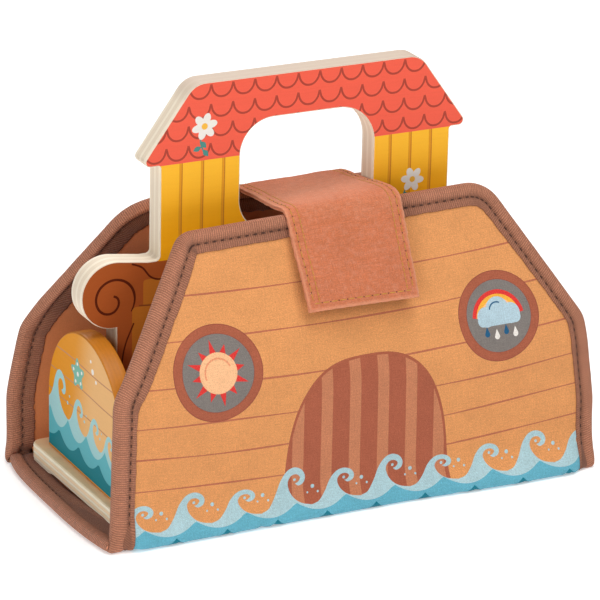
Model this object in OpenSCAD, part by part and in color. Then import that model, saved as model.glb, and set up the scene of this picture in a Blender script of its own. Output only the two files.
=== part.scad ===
// Ark-shaped carry toy: a wooden ark standing in a soft canvas case whose
// front and back panels fold down from a flat base. A canvas strap is sewn to
// the back panel, passes through the wooden handle and closes on the front.
// X runs along the ship, Y from front to back, Z up. The origin is on the
// resting surface, under the middle of the case.

/* [Fabric case] */
// Length of the case along its base
case_l = 300; // [280:1:330]
// Depth over the outer faces of the two panels, without the edge tape
case_d = 135.4; // [130:0.2:145]
// Height of the top edge of the panels
panel_h = 162; // [155:1:170]
// Height at which the panels bend inwards and their sides turn in
knee_h = 84; // [78:1:90]
// Length of a panel at the knee
knee_l = 292; // [280:1:298]
// Length of a panel at its top edge
top_l = 188; // [170:1:200]
// Inward lean of the panels above the knee, in degrees
lean = 26; // [22:0.5:27]
// Radius of the bend at the knee
bend_r = 60; // [40:1:80]

/* [Layers] */
// Thickness of one layer of canvas or lining
cloth_t = 0.8; // [0.6:0.1:1]
// Thickness of the stiffening board in each panel and in the base
stiff_t = 2.6; // [2:0.1:3]
// Thickness of the binding tape
tape_t = 1; // [0.8:0.1:1.2]
// Width of the binding tape that shows on each face
tape_w = 11; // [8:0.5:14]

/* [Fold] */
// Radius of the rolled canvas fold between the base and a panel
fold_r = 2.2; // [1.8:0.1:2.3]
// Height of the fold line above the resting surface
fold_z = 2.7; // [2.7:0.1:2.8]

/* [Strap] */
// Width of the strap
strap_w = 65; // [50:1:65]
// Middle of the strap along the ship
strap_x = 2.4; // [-4:0.2:2.6]
// Thickness of the doubled strap
strap_t = 2.4; // [2:0.1:2.6]
// Height of the lower end of the strap on the front panel
strap_end_z = 113; // [105:1:118]
// Height of the lower end of the sewn part of the strap on the back panel
anchor_end_z = 117; // [105:1:130]

/* [Wooden ark] */
// How far the wooden ark stands from the middle of the case, along X
ark_x = -5; // [-6:0.5:0]
// Length of the base plate
plate_l = 269; // [262:1:270]
// Width of the base plate
plate_w = 115; // [108:1:118]
// Thickness of the base plate
plate_t = 9.5; // [8:0.5:11]
// Height of the runners under the base plate
runner_t = 2.5; // [2:0.5:3]
// Width of each runner
runner_w = 25; // [15:1:30]
// Distance between the outer faces of the end walls
walls_l = 256; // [250:1:258]
// Thickness of the end walls
wall_t = 11; // [9:0.5:12]
// Width of the end walls, which have half-round tops
wall_w = 100; // [90:1:104]
// Height of the end walls above the base plate
wall_h = 82; // [72:1:83]

/* [Centre board] */
// Thickness of the centre board
board_t = 14; // [12:0.5:15]
// Length of the hull part of the board, between its two lower end edges
hull_l = 226.4; // [220:0.2:228]
// Height of the hull's top edge
hull_z = 138; // [134:1:142]
// Radius of the scrolls at the hull's ends
scroll_r = 19.1; // [17:0.1:19.4]
// Distance between the centres of the scrolls
scroll_l = 230; // [226:1:231]
// Height of the centres of the scrolls
scroll_z = 121.6; // [121:0.2:123]
// Width of the house over its two posts
house_w = 175.2; // [168:0.2:180]
// Height of the eaves
eave_z = 192.5; // [188:0.5:196]
// Length of the roof at the eaves
eave_l = 198.2; // [190:0.2:206]
// Length of the roof at its top
roof_l = 135.8; // [120:0.2:150]
// Height of the roof's top
roof_z = 235; // [230:1:240]
// Width of the handle opening
grip_w = 81; // [78:1:86]
// Height of the lower edge of the handle opening
grip_z0 = 146; // [144:1:148]
// Height of the upper edge of the handle opening
grip_z1 = 212; // [209:1:214]
// Corner radius of the handle opening
grip_r = 20; // [12:1:26]

/* [Fasteners] */
// Diameter of the dowels that stand the end walls on the base plate
dowel_d = 6; // [5:0.5:6]
// Diameter of the wood screws that hold the centre board from below
screw_d = 3.5; // [3:0.1:4]

/* [Hidden] */
$fn = 48;
core_t = 2 * cloth_t + stiff_t;          // thickness of a panel without tape
out_d = case_d / 2;                      // outer face of a panel from the middle
fold_y = out_d + tape_t - fold_z;        // fold line from the middle
fold_gap = 0.3;
panel_z0 = fold_z + fold_r + fold_gap;   // lower edge of a panel
lining_z = core_t;                       // top of the base lining
plate_z = lining_z + runner_t;           // underside of the base plate
deck_z = plate_z + plate_t;              // top of the base plate
sx0 = strap_x - strap_w / 2;
sx1 = strap_x + strap_w / 2;
slope = tan(lean);
strap_off = 2.8;                         // strap tail's inner face off the cover
wall_r = wall_w / 2;
lift_y = out_d - (panel_h + 3 - knee_h) * slope + (tape_t + strap_t / 2) / cos(lean);
lift_z = panel_h + 3;
peel_z = panel_h + 3.8;
peel_y = -(out_d - (peel_z - knee_h) * slope + (strap_off + strap_t / 2) / cos(lean));
eps = 0.02;

canvas = [0.86, 0.56, 0.32];
brown = [0.53, 0.36, 0.29];
terracotta = [0.80, 0.46, 0.33];
ply = [0.87, 0.79, 0.66];
ochre = [0.83, 0.56, 0.22];

// Outer face of a panel as [depth, height, lean] from below the fold upwards
bend_n = 8;
bend_z0 = knee_h - bend_r * tan(lean / 2);
bend_z1 = bend_z0 + bend_r * sin(lean);
bend_d1 = out_d - bend_r * (1 - cos(lean));
run_up = (panel_h + 14 - bend_z1) / cos(lean);
face = concat(
  [[out_d, -15, 0]],
  [for (i = [0 : bend_n]) let (a = lean * i / bend_n)
    [out_d - bend_r * (1 - cos(a)), bend_z0 + bend_r * sin(a), a]],
  [[bend_d1 - run_up * sin(lean), bend_z1 + run_up * cos(lean), lean]]
);
function face_off(t) = [for (p = face) [p[0] + t * cos(p[2]), p[1] + t * sin(p[2])]];
function rev(v) = [for (i = [len(v) - 1 : -1 : 0]) v[i]];

// Sheet that follows a panel between two distances from its outer face.
// side is -1 for the front panel and 1 for the back panel.
module band(side, t0, t1) {
  pts = concat(face_off(t0), rev(face_off(t1)));
  rotate([90, 0, 90]) linear_extrude(case_l + 40, center = true)
    polygon([for (p = pts) [side * p[0], p[1]]]);
}

// Outline of a panel seen from the front, moved outwards by o
function unit(v) = v / norm(v);
function nrm(a, b) = let (u = unit(b - a)) [u[1], -u[0]];
function grown(v, o) = [for (i = [0 : len(v) - 1])
  let (n = len(v), a = nrm(v[(i + n - 1) % n], v[i]), b = nrm(v[i], v[(i + 1) % n]))
  v[i] + o * (a + b) / (1 + a * b)];
function rounded(v, r, m = 5) = [for (i = [0 : len(v) - 1])
  let (n = len(v), a = unit(v[i] - v[(i + n - 1) % n]), b = unit(v[(i + 1) % n] - v[i]),
       turn = acos(a * b), t = r[i] * tan(turn / 2), p = v[i] - a * t,
       s = sign(a[0] * b[1] - a[1] * b[0]), q = [-a[1], a[0]] * s)
  for (k = [0 : (r[i] == 0 ? 0 : m)])
    r[i] == 0 ? v[i] : let (w = turn * k / m) p + q * r[i] * (1 - cos(w)) + a * r[i] * sin(w)];
hex_pts = [[-case_l / 2, 0], [case_l / 2, 0], [knee_l / 2, knee_h],
           [top_l / 2, panel_h], [-top_l / 2, panel_h], [-knee_l / 2, knee_h]];
module hexagon(o, z0) {
  r = [0, 0, 26 + o, 12 + o, 12 + o, 26 + o];
  rotate([90, 0, 0]) linear_extrude(case_d + 60, center = true) intersection() {
    polygon(rounded(grown(hex_pts, o), r));
    translate([-case_l, z0]) square([2 * case_l, 300]);
  }
}
module panel_layer(side, t0, t1) {
  intersection() { band(side, t0, t1); hexagon(0, panel_z0); half(side); }
}
module half(side) {
  translate([-case_l, side < 0 ? -case_d : 0, -30]) cube([2 * case_l, case_d, 300]);
}
module panel_tape(side) {
  difference() {
    intersection() { band(side, tape_t, -core_t - tape_t); hexagon(tape_t, panel_z0); half(side); }
    hexagon_core(-tape_w);
    intersection() { band(side, 0, -core_t); hexagon_core(0); half(side); }
  }
}
// Panel outline that runs on below the panel's lower edge
module hexagon_core(o) {
  g = grown(hex_pts, o);
  low_x = g[1][0] + (g[1][0] - g[2][0]) / (g[1][1] - g[2][1]) * (-20 - g[1][1]);
  low = [[-low_x, -20], [low_x, -20]];
  r = [0, 0, max(2, 26 + o), max(2, 12 + o), max(2, 12 + o), max(2, 26 + o)];
  rotate([90, 0, 0]) linear_extrude(case_d + 60, center = true)
    polygon(rounded([low[0], low[1], g[2], g[3], g[4], g[5]], r));
}
module strap_piece(side, t0, t1, z0, z1, x0, x1) {
  intersection() {
    band(side, t0, t1);
    half(side);
    translate([x0, -case_d, z0]) cube([x1 - x0, 2 * case_d, z1 - z0]);
  }
}

// ---- base of the case
module base_cover() {
  color(canvas) union() {
    translate([-case_l / 2 + tape_w, -fold_y, 0])
      cube([case_l - 2 * tape_w, 2 * fold_y, cloth_t]);
    for (s = [-1, 1]) translate([-case_l / 2 + tape_w, s * fold_y, fold_z])
      rotate([0, 90, 0]) cylinder(r = fold_r, h = case_l - 2 * tape_w);
  }
}
base_in = fold_y - fold_r - 0.2;
module base_stiffener() {
  color("tan") translate([-case_l / 2, -base_in, cloth_t])
    cube([case_l, 2 * base_in, stiff_t]);
}
module base_lining() {
  color(brown) translate([-case_l / 2, -base_in, cloth_t + stiff_t])
    cube([case_l, 2 * base_in, cloth_t]);
}
module base_binding(s) {
  color(brown) difference() {
    translate([s > 0 ? case_l / 2 - tape_w : -case_l / 2 - tape_t, -base_in, 0])
      cube([tape_w + tape_t, 2 * base_in, core_t + cloth_t]);
    translate([s > 0 ? case_l / 2 - tape_w - 1 : -case_l / 2, -base_in - 1, cloth_t])
      cube([tape_w + 1, 2 * base_in + 2, core_t - cloth_t]);
  }
}
module left_base_binding() { base_binding(-1); }
module right_base_binding() { base_binding(1); }

// ---- front panel
module front_cover() { color(canvas) panel_layer(-1, 0, -cloth_t); }
module front_stiffener() { color("tan") panel_layer(-1, -cloth_t, -cloth_t - stiff_t); }
module front_lining() { color(brown) panel_layer(-1, -cloth_t - stiff_t, -core_t); }
module front_binding() { color(brown) panel_tape(-1); }
module loop_patch() {
  color([0.6, 0.4, 0.3]) strap_piece(-1, 0, 1.2, strap_end_z + 7, panel_h - 14, sx0 + 7, sx1 - 7);
}

// ---- back panel
module back_cover() { color(canvas) panel_layer(1, 0, -cloth_t); }
module back_stiffener() { color("tan") panel_layer(1, -cloth_t, -cloth_t - stiff_t); }
module back_lining() { color(brown) panel_layer(1, -cloth_t - stiff_t, -core_t); }
module back_binding() { color(brown) panel_tape(1); }

// ---- strap
module strap_anchor() {
  color(terracotta) strap_piece(1, tape_t, tape_t + strap_t, anchor_end_z, lift_z - strap_t / 2 - 0.5, sx0, sx1);
}
module strap_span() {
  h = strap_t / 2;
  color(terracotta) translate([sx0, 0, 0]) union() {
    rotate([90, 0, 90]) linear_extrude(strap_w)
      polygon([[lift_y, lift_z - h], [lift_y, lift_z + h], [0, lift_z + h + 1.6],
               [peel_y, peel_z + h], [peel_y, peel_z - h], [0, lift_z - h + 1.6]]);
    translate([0, lift_y, lift_z]) rotate([0, 90, 0]) cylinder(r = h, h = strap_w);
    translate([0, peel_y, peel_z]) rotate([0, 90, 0]) cylinder(r = h, h = strap_w);
  }
}
module strap_tail() {
  color(terracotta) strap_piece(-1, strap_off, strap_off + strap_t, strap_end_z, peel_z - strap_t / 2 - 0.5, sx0, sx1);
}
module hook_patch() {
  color([0.35, 0.25, 0.2]) strap_piece(-1, 1.6, strap_off, strap_end_z + 7, panel_h - 14, sx0 + 7, sx1 - 7);
}

// ---- wooden ark
wall_x = walls_l / 2 - wall_t / 2;
dowel_y = wall_w * 0.3;
dowel_z0 = deck_z - 7;
dowel_h = 20;
module at_dowels() {
  for (s = [-1, 1], t = [-1, 1])
    translate([ark_x + s * wall_x, t * dowel_y, dowel_z0]) children();
}
module at_screws() {
  for (i = [-1, 0, 1]) translate([ark_x + i * hull_l * 0.36, 0, plate_z]) children();
}
module screw_body(g) {
  cylinder(d1 = 2 * screw_d + 2 * g, d2 = screw_d + 2 * g, h = screw_d * 0.6);
  cylinder(d = screw_d + 2 * g, h = plate_t + 18 + g);
}
module base_plate() {
  color(ply) difference() {
    translate([ark_x, 0, plate_z]) linear_extrude(plate_t) plate_outline();
    at_dowels() cylinder(d = dowel_d + 2 * eps, h = dowel_h);
    at_screws() screw_body(eps);
  }
}
module plate_outline() {
  r = 6;
  square([plate_l - 2 * r, plate_w], center = true);
  square([plate_l, plate_w - 2 * r], center = true);
  for (s = [-1, 1], t = [-1, 1]) translate([s * (plate_l / 2 - r), t * (plate_w / 2 - r)]) circle(r);
}
module runner(s) {
  color(ply) translate([ark_x - plate_l / 2 + 1, s > 0 ? plate_w / 2 - runner_w - 0.5 : -plate_w / 2 + 0.5, lining_z])
    cube([plate_l - 2, runner_w, runner_t]);
}
module front_runner() { runner(-1); }
module back_runner() { runner(1); }
module end_wall(s) {
  color(ochre) difference() {
    translate([ark_x + s * wall_x, 0, deck_z]) rotate([90, 0, 90])
      linear_extrude(wall_t, center = true) union() {
        translate([-wall_r, 0]) square([wall_w, wall_h - wall_r]);
        intersection() {
          translate([0, wall_h - wall_r]) circle(wall_r, $fn = 96);
          translate([-wall_r, wall_h - wall_r]) square([wall_w, wall_r]);
        }
      }
    at_dowels() cylinder(d = dowel_d + 2 * eps, h = dowel_h);
  }
}
module left_end_wall() { end_wall(-1); }
module right_end_wall() { end_wall(1); }
side_pts = [[hull_l / 2, deck_z], [hull_l / 2, scroll_z], [scroll_l / 2, scroll_z + scroll_r - 0.05],
            [scroll_l / 2 - 20, hull_z], [house_w / 2, hull_z], [house_w / 2, eave_z],
            [eave_l / 2, eave_z], [roof_l / 2, roof_z]];
side_r = [0, 0, 0, 12, 4, 1.5, 3, 9];
board_pts = concat(side_pts, [for (p = rev(side_pts)) [-p[0], p[1]]]);
board_r = concat(side_r, rev(side_r));
module grip_outline() {
  h = grip_z1 - grip_z0;
  translate([0, grip_z0 + h / 2]) {
    square([grip_w - 2 * grip_r, h], center = true);
    square([grip_w, h - 2 * grip_r], center = true);
    for (s = [-1, 1], t = [-1, 1])
      translate([s * (grip_w / 2 - grip_r), t * (h / 2 - grip_r)]) circle(grip_r, $fn = 64);
  }
}
module centre_board() {
  color(ply) difference() {
    translate([ark_x, 0, 0]) rotate([90, 0, 0]) linear_extrude(board_t, center = true) difference() {
      union() {
        polygon(rounded(board_pts, board_r));
        for (s = [-1, 1]) translate([s * scroll_l / 2, scroll_z]) circle(scroll_r, $fn = 96);
      }
      grip_outline();
    }
    at_screws() screw_body(eps);
  }
}
module dowels() {
  color("burlywood") at_dowels() cylinder(d = dowel_d, h = dowel_h - eps);
}
module screws() {
  color("silver") at_screws() screw_body(0);
}

base_cover();
base_stiffener();
base_lining();
left_base_binding();
right_base_binding();
front_cover();
front_stiffener();
front_lining();
front_binding();
loop_patch();
back_cover();
back_stiffener();
back_lining();
back_binding();
strap_anchor();
strap_span();
strap_tail();
hook_patch();
base_plate();
front_runner();
back_runner();
left_end_wall();
right_end_wall();
centre_board();
dowels();
screws();
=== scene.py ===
import math

import bpy
import numpy as np
from mathutils import Matrix, Vector
from mathutils.geometry import delaunay_2d_cdt


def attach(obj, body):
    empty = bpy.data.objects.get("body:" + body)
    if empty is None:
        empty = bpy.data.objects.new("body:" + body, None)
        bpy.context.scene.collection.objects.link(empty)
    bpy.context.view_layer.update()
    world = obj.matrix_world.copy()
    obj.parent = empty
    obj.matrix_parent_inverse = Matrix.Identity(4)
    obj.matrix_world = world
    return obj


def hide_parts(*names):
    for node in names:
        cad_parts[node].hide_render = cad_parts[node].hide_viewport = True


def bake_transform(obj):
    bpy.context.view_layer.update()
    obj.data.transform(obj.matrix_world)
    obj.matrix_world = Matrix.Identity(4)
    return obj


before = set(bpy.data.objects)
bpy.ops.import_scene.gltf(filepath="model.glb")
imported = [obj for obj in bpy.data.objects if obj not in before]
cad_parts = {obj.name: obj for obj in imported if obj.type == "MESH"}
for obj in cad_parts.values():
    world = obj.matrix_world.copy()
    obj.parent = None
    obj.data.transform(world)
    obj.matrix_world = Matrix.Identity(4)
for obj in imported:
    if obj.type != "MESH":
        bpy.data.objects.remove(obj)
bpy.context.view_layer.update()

MM = 0.001
PI = math.pi

# ------------------------------------------------------------------ colours
ORANGE = (222, 152, 93)
PLANK = (186, 108, 78)
DOOR = (169, 92, 66)
DOOR_LINE = (150, 78, 60)
DOOR_TAN = (196, 126, 90)
GREY = (127, 120, 115)
PEACH = (247, 190, 142)
RED = (221, 56, 52)
PALE_BLUE = (177, 202, 213)
NAVY = (32, 92, 130)
WHITE = (238, 232, 224)
WAVE_1 = (172, 204, 211)
WAVE_2 = (100, 175, 196)
WAVE_3 = (14, 120, 140)
END_WAVES = ((160, 206, 208), (92, 178, 188), (0, 122, 134))
ROOF = (241, 98, 76)
ROOF_LINE = (172, 70, 56)
YELLOW = (255, 190, 52)
YELLOW_LOW = (255, 176, 24)
YELLOW_STRIP = (228, 154, 38)
YELLOW_LINE = (200, 124, 42)
LEAF = (78, 140, 132)
HULL = (176, 88, 40)
HULL_LIGHT = (196, 116, 40)
HULL_LINE = (92, 34, 14)
END_FACE = (234, 182, 118)
END_LINE = (196, 136, 96)
MINT = (122, 184, 166)
END_OCHRE = (226, 146, 12)
LINING = (212, 130, 80)


def lin(c):
    """A screen colour of 0 to 255 as linear light."""
    out = []
    for v in c:
        v = v / 255.0
        out.append(v / 12.92 if v <= 0.04045 else ((v + 0.055) / 1.055) ** 2.4)
    return out + [1.0]


# ------------------------------------------------------------------ plane shapes
def smooth(t):
    t = np.clip(t, 0.0, 1.0)
    return t * t * (3.0 - 2.0 * t)


def swell(x, y, size, seed, n=7):
    """Slow, even unevenness between about -1 and 1, with hollows of about that size."""
    r = np.random.default_rng(seed)
    out = np.zeros_like(np.asarray(x, float) + np.asarray(y, float))
    for _ in range(n):
        a, k, p = r.uniform(0, 2 * PI), 2 * PI / (size * r.uniform(0.7, 1.6)), r.uniform(0, 2 * PI)
        out = out + np.sin(k * (x * math.cos(a) + y * math.sin(a)) + p)
    return out / math.sqrt(2.0 * n)


def arc(cx, cy, r, a0, a1, n=24, ry=None):
    a = np.radians(np.linspace(a0, a1, n))
    return np.stack([cx + r * np.cos(a), cy + (r if ry is None else ry) * np.sin(a)], 1)


def disc(cx, cy, r, n=48, ry=None):
    return arc(cx, cy, r, 0, 360 - 360 / n, n, ry)


def spline(points, per=8, closed=False):
    """A smooth line through the points."""
    p = np.asarray(points, float)
    p = np.concatenate([p[-1:], p, p[:2]]) if closed else np.concatenate([2 * p[:1] - p[1:2], p, 2 * p[-1:] - p[-2:-1]])
    t = np.linspace(0, 1, per, endpoint=False)[:, None]
    out = []
    for i in range(1, len(p) - 2):
        a, b, c, d = p[i - 1], p[i], p[i + 1], p[i + 2]
        out.append(0.5 * (2 * b + (c - a) * t + (2 * a - 5 * b + 4 * c - d) * t ** 2 + (3 * b - a - 3 * c + d) * t ** 3))
    if not closed:
        out.append(p[-2:-1])
    return np.concatenate(out)


def resample(line, step):
    line = np.asarray(line, float)
    d = np.concatenate([[0], np.cumsum(np.linalg.norm(np.diff(line, axis=0), axis=1))])
    n = max(2, int(round(d[-1] / step)) + 1)
    q = np.linspace(0, d[-1], n)
    return np.stack([np.interp(q, d, line[:, k]) for k in range(line.shape[1])], 1)


def normals_2d(line):
    t = np.gradient(np.asarray(line, float), axis=0)
    t /= np.linalg.norm(t, axis=1)[:, None] + 1e-12
    return np.stack([-t[:, 1], t[:, 0]], 1)


def stroke(line, width):
    """The outline of a drawn line. Its width is one number or one for each point."""
    line = np.asarray(line, float)
    w = np.broadcast_to(np.asarray(width, float), (len(line),))[:, None] / 2
    n = normals_2d(line)
    return np.concatenate([line + n * w, (line - n * w)[::-1]])


def rounded(points, radii, closed=True, step=1.0):
    """A polygon or a bent line with rounded corners."""
    p = [np.asarray(q, float) for q in points]
    out = []
    for i, q in enumerate(p):
        r = radii[i]
        if r <= 0 or (not closed and i in (0, len(p) - 1)):
            out.append(q[None])
            continue
        a, b = p[i - 1] - q, p[(i + 1) % len(p)] - q
        a, b = a / np.linalg.norm(a), b / np.linalg.norm(b)
        half = math.acos(float(np.clip(a @ b, -1, 1))) / 2
        reach = r / math.tan(half)
        c = q + (a + b) / np.linalg.norm(a + b) * (r / math.sin(half))
        u0, u1 = q + a * reach - c, q + b * reach - c
        turn = math.atan2(u0[0] * u1[1] - u0[1] * u1[0], float(u0 @ u1))
        n = max(3, int(abs(turn) * r / step) + 2)
        t = np.linspace(0, turn, n)
        out.append(c + np.stack([u0[0] * np.cos(t) - u0[1] * np.sin(t), u0[0] * np.sin(t) + u0[1] * np.cos(t)], 1))
    return np.concatenate(out)


def inside(loop, pts):
    x, y = pts[:, 0], pts[:, 1]
    lo, hi = loop.min(0), loop.max(0)
    out = np.zeros(len(pts), bool)
    idx = np.nonzero((x > lo[0]) & (x < hi[0]) & (y > lo[1]) & (y < hi[1]))[0]
    if not len(idx):
        return out
    px, py = x[idx], y[idx]
    c = np.zeros(len(idx), bool)
    for (xi, yi), (xj, yj) in zip(loop, np.roll(loop, 1, axis=0)):
        if yi != yj:
            c ^= ((yi > py) != (yj > py)) & (px < (xj - xi) * (py - yi) / (yj - yi) + xi)
    out[idx] = c
    return out


def grow(loop, by):
    """A closed loop moved outwards, or inwards if by is less than 0."""
    loop = np.asarray(loop, float)
    e = np.roll(loop, -1, 0) - loop
    e /= np.linalg.norm(e, axis=1)[:, None]
    n = np.stack([e[:, 1], -e[:, 0]], 1)
    x, y = loop[:, 0], loop[:, 1]
    if np.sum(x * np.roll(y, -1) - y * np.roll(x, -1)) < 0:
        n = -n
    m = n + np.roll(n, 1, 0)
    m /= np.maximum(np.sum(m * m, 1), 0.5)[:, None] / 2.0
    return loop + m * by


def tessellate(loops, shapes, spacing):
    """Triangles of a flat piece, cut along every print outline. loops are the outline and its holes. shapes are (outline, colour) pairs, painted one over the other. Returns points, triangles and the index of the last shape on each triangle, or -1."""
    pts, edges = [], []

    def add(loop):
        base = len(pts)
        pts.extend(map(tuple, loop))
        edges.extend((base + i, base + (i + 1) % len(loop)) for i in range(len(loop)))

    def dense(loop):
        loop = np.asarray(loop, float)
        out = []
        for a, b in zip(loop, np.roll(loop, -1, 0)):
            n = max(1, int(math.ceil(np.linalg.norm(b - a) / spacing)))
            out.append(a + (b - a) * (np.arange(n) / n)[:, None])
        return np.concatenate(out)

    for loop in loops:
        add(loop)
    for loop, _ in shapes:
        add(dense(loop))
    outer = loops[0]
    lo, hi = outer.min(0), outer.max(0)
    rows = np.arange(lo[1] + spacing * 0.5, hi[1], spacing * 0.866)
    grid = np.concatenate([np.stack([np.arange(lo[0] + spacing * (0.25 + 0.5 * (k % 2)), hi[0], spacing), np.full(len(np.arange(lo[0] + spacing * (0.25 + 0.5 * (k % 2)), hi[0], spacing)), y)], 1) for k, y in enumerate(rows)])
    ok = inside(outer, grid)
    for loop in loops[1:]:
        ok &= ~inside(loop, grid)
    grid = grid[ok]
    cell = spacing * 0.45
    taken = {(int(math.floor(x / cell)), int(math.floor(y / cell))) for x, y in pts}
    for x, y in grid:
        k = (int(math.floor(x / cell)), int(math.floor(y / cell)))
        if k not in taken:
            pts.append((x, y))
    res = delaunay_2d_cdt([Vector(p) for p in pts], edges, [], 0, 1e-4, False)
    v = np.array([tuple(q) for q in res[0]], float)
    f = np.array([tuple(t) for t in res[2] if len(t) == 3], int)
    mid = v[f].mean(1)
    keep = inside(outer, mid)
    for loop in loops[1:]:
        keep &= ~inside(loop, mid)
    a, b, c = v[f[:, 0]], v[f[:, 1]], v[f[:, 2]]
    area = (b[:, 0] - a[:, 0]) * (c[:, 1] - a[:, 1]) - (b[:, 1] - a[:, 1]) * (c[:, 0] - a[:, 0])
    keep &= np.abs(area) > 1e-7
    f[area < 0] = f[area < 0][:, ::-1]
    f, mid = f[keep], mid[keep]
    which = np.full(len(f), -1)
    for i, (loop, _) in enumerate(shapes):
        which[inside(np.asarray(loop, float), mid)] = i
    used = np.unique(f)
    back = np.full(len(v), -1)
    back[used] = np.arange(len(used))
    return v[used], back[f], which


def rim(tris):
    """The open edges of the triangles, as ordered closed loops of point numbers."""
    count = {}
    for t in tris:
        for i in range(3):
            a, b = int(t[i]), int(t[(i + 1) % 3])
            if (b, a) in count:
                del count[(b, a)]
            else:
                count[(a, b)] = True
    after = {}
    for a, b in count:
        after.setdefault(a, []).append(b)
    loops = []
    while after:
        a = next(iter(after))
        loop = [a]
        while True:
            nxt = after[loop[-1]].pop()
            if not after[loop[-1]]:
                del after[loop[-1]]
            if nxt == loop[0]:
                break
            loop.append(nxt)
        loops.append(loop)
    return loops


# ------------------------------------------------------------------ mesh objects
def piece(name, verts, faces, mats, body, face_mat=None, paint=None, flat=None, shade=None, ride=True):
    """One mesh in millimetres. paint is a colour for each face, flat a place in the cloth or the wood for each point, and shade whether each face is smooth."""
    me = bpy.data.meshes.new(name)
    me.from_pydata((np.asarray(verts, float) * MM).tolist(), [], [tuple(int(i) for i in f) for f in faces])
    mats = mats if isinstance(mats, (list, tuple)) else [mats]
    for m in mats:
        me.materials.append(m)
    n = len(me.polygons)
    if face_mat is not None:
        me.polygons.foreach_set("material_index", np.asarray(face_mat, np.int32))
    me.polygons.foreach_set("use_smooth", np.ones(n, bool) if shade is None else np.asarray(shade, bool))
    if paint is not None:
        at = me.color_attributes.new("paint", "FLOAT_COLOR", "CORNER")
        size = np.zeros(n, np.int32)
        me.polygons.foreach_get("loop_total", size)
        at.data.foreach_set("color", np.repeat(np.asarray(paint, np.float32), size, axis=0).ravel())
    if flat is not None:
        at = me.attributes.new("flat", "FLOAT_VECTOR", "POINT")
        at.data.foreach_set("vector", np.asarray(flat, np.float32).ravel())
    me.update()
    ob = bpy.data.objects.new(name, me)
    bpy.context.scene.collection.objects.link(ob)
    if ride:
        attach(ob, body)
    return ob


def corner_places(me):
    """Where each face corner of a mesh lies, in millimetres."""
    idx = np.zeros(len(me.loops), np.int32)
    me.loops.foreach_get("vertex_index", idx)
    co = np.zeros(len(me.vertices) * 3, np.float32)
    me.vertices.foreach_get("co", co)
    return co.reshape(-1, 3)[idx] / MM


def tube_faces(rows, ring, closed=True):
    """Faces of a tube of that many rows of ring points each."""
    out = []
    for i in range(rows - 1):
        for j in range(ring if closed else ring - 1):
            k = (j + 1) % ring
            out.append((i * ring + j, i * ring + k, (i + 1) * ring + k, (i + 1) * ring + j))
    return out


def threads(name, at, along, up, mat, body, length=2.6, thick=0.42, rise=0.25, sink=0.12, ride=True, flat=None):
    """Sewn stitches: short arched pieces of thread that dive into the cloth at both ends."""
    n, side = 7, 6
    t = np.linspace(-1, 1, n)
    height = rise * (1 - t ** 2) ** 0.6 - sink
    rad = thick * np.sqrt(np.maximum(1 - t ** 6, 0.06)) * (0.8 + 0.2 * (1 - t ** 2))
    ang = np.arange(side) * 2 * PI / side
    at, along, up = (np.asarray(q, float) for q in (at, along, up))
    along = along / np.linalg.norm(along, axis=1)[:, None]
    across = np.cross(up, along)
    across /= np.linalg.norm(across, axis=1)[:, None]
    up = np.cross(along, across)
    v, f = [], []
    one = tube_faces(n, side) + [tuple(range(side))[::-1], tuple(range((n - 1) * side, n * side))]
    for p, a, u, c in zip(at, along, up, across):
        base = len(v) * n * side
        ring = p + a * (t * length / 2)[:, None] + u * height[:, None]
        ring = ring[:, None] + rad[:, None, None] * (np.cos(ang)[None, :, None] * c + np.sin(ang)[None, :, None] * u * 0.8)
        v.append(ring.reshape(-1, 3))
        f.extend(tuple(base + i for i in q) for q in one)
    return piece(name, np.concatenate(v), f, mat, body, ride=ride)


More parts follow.
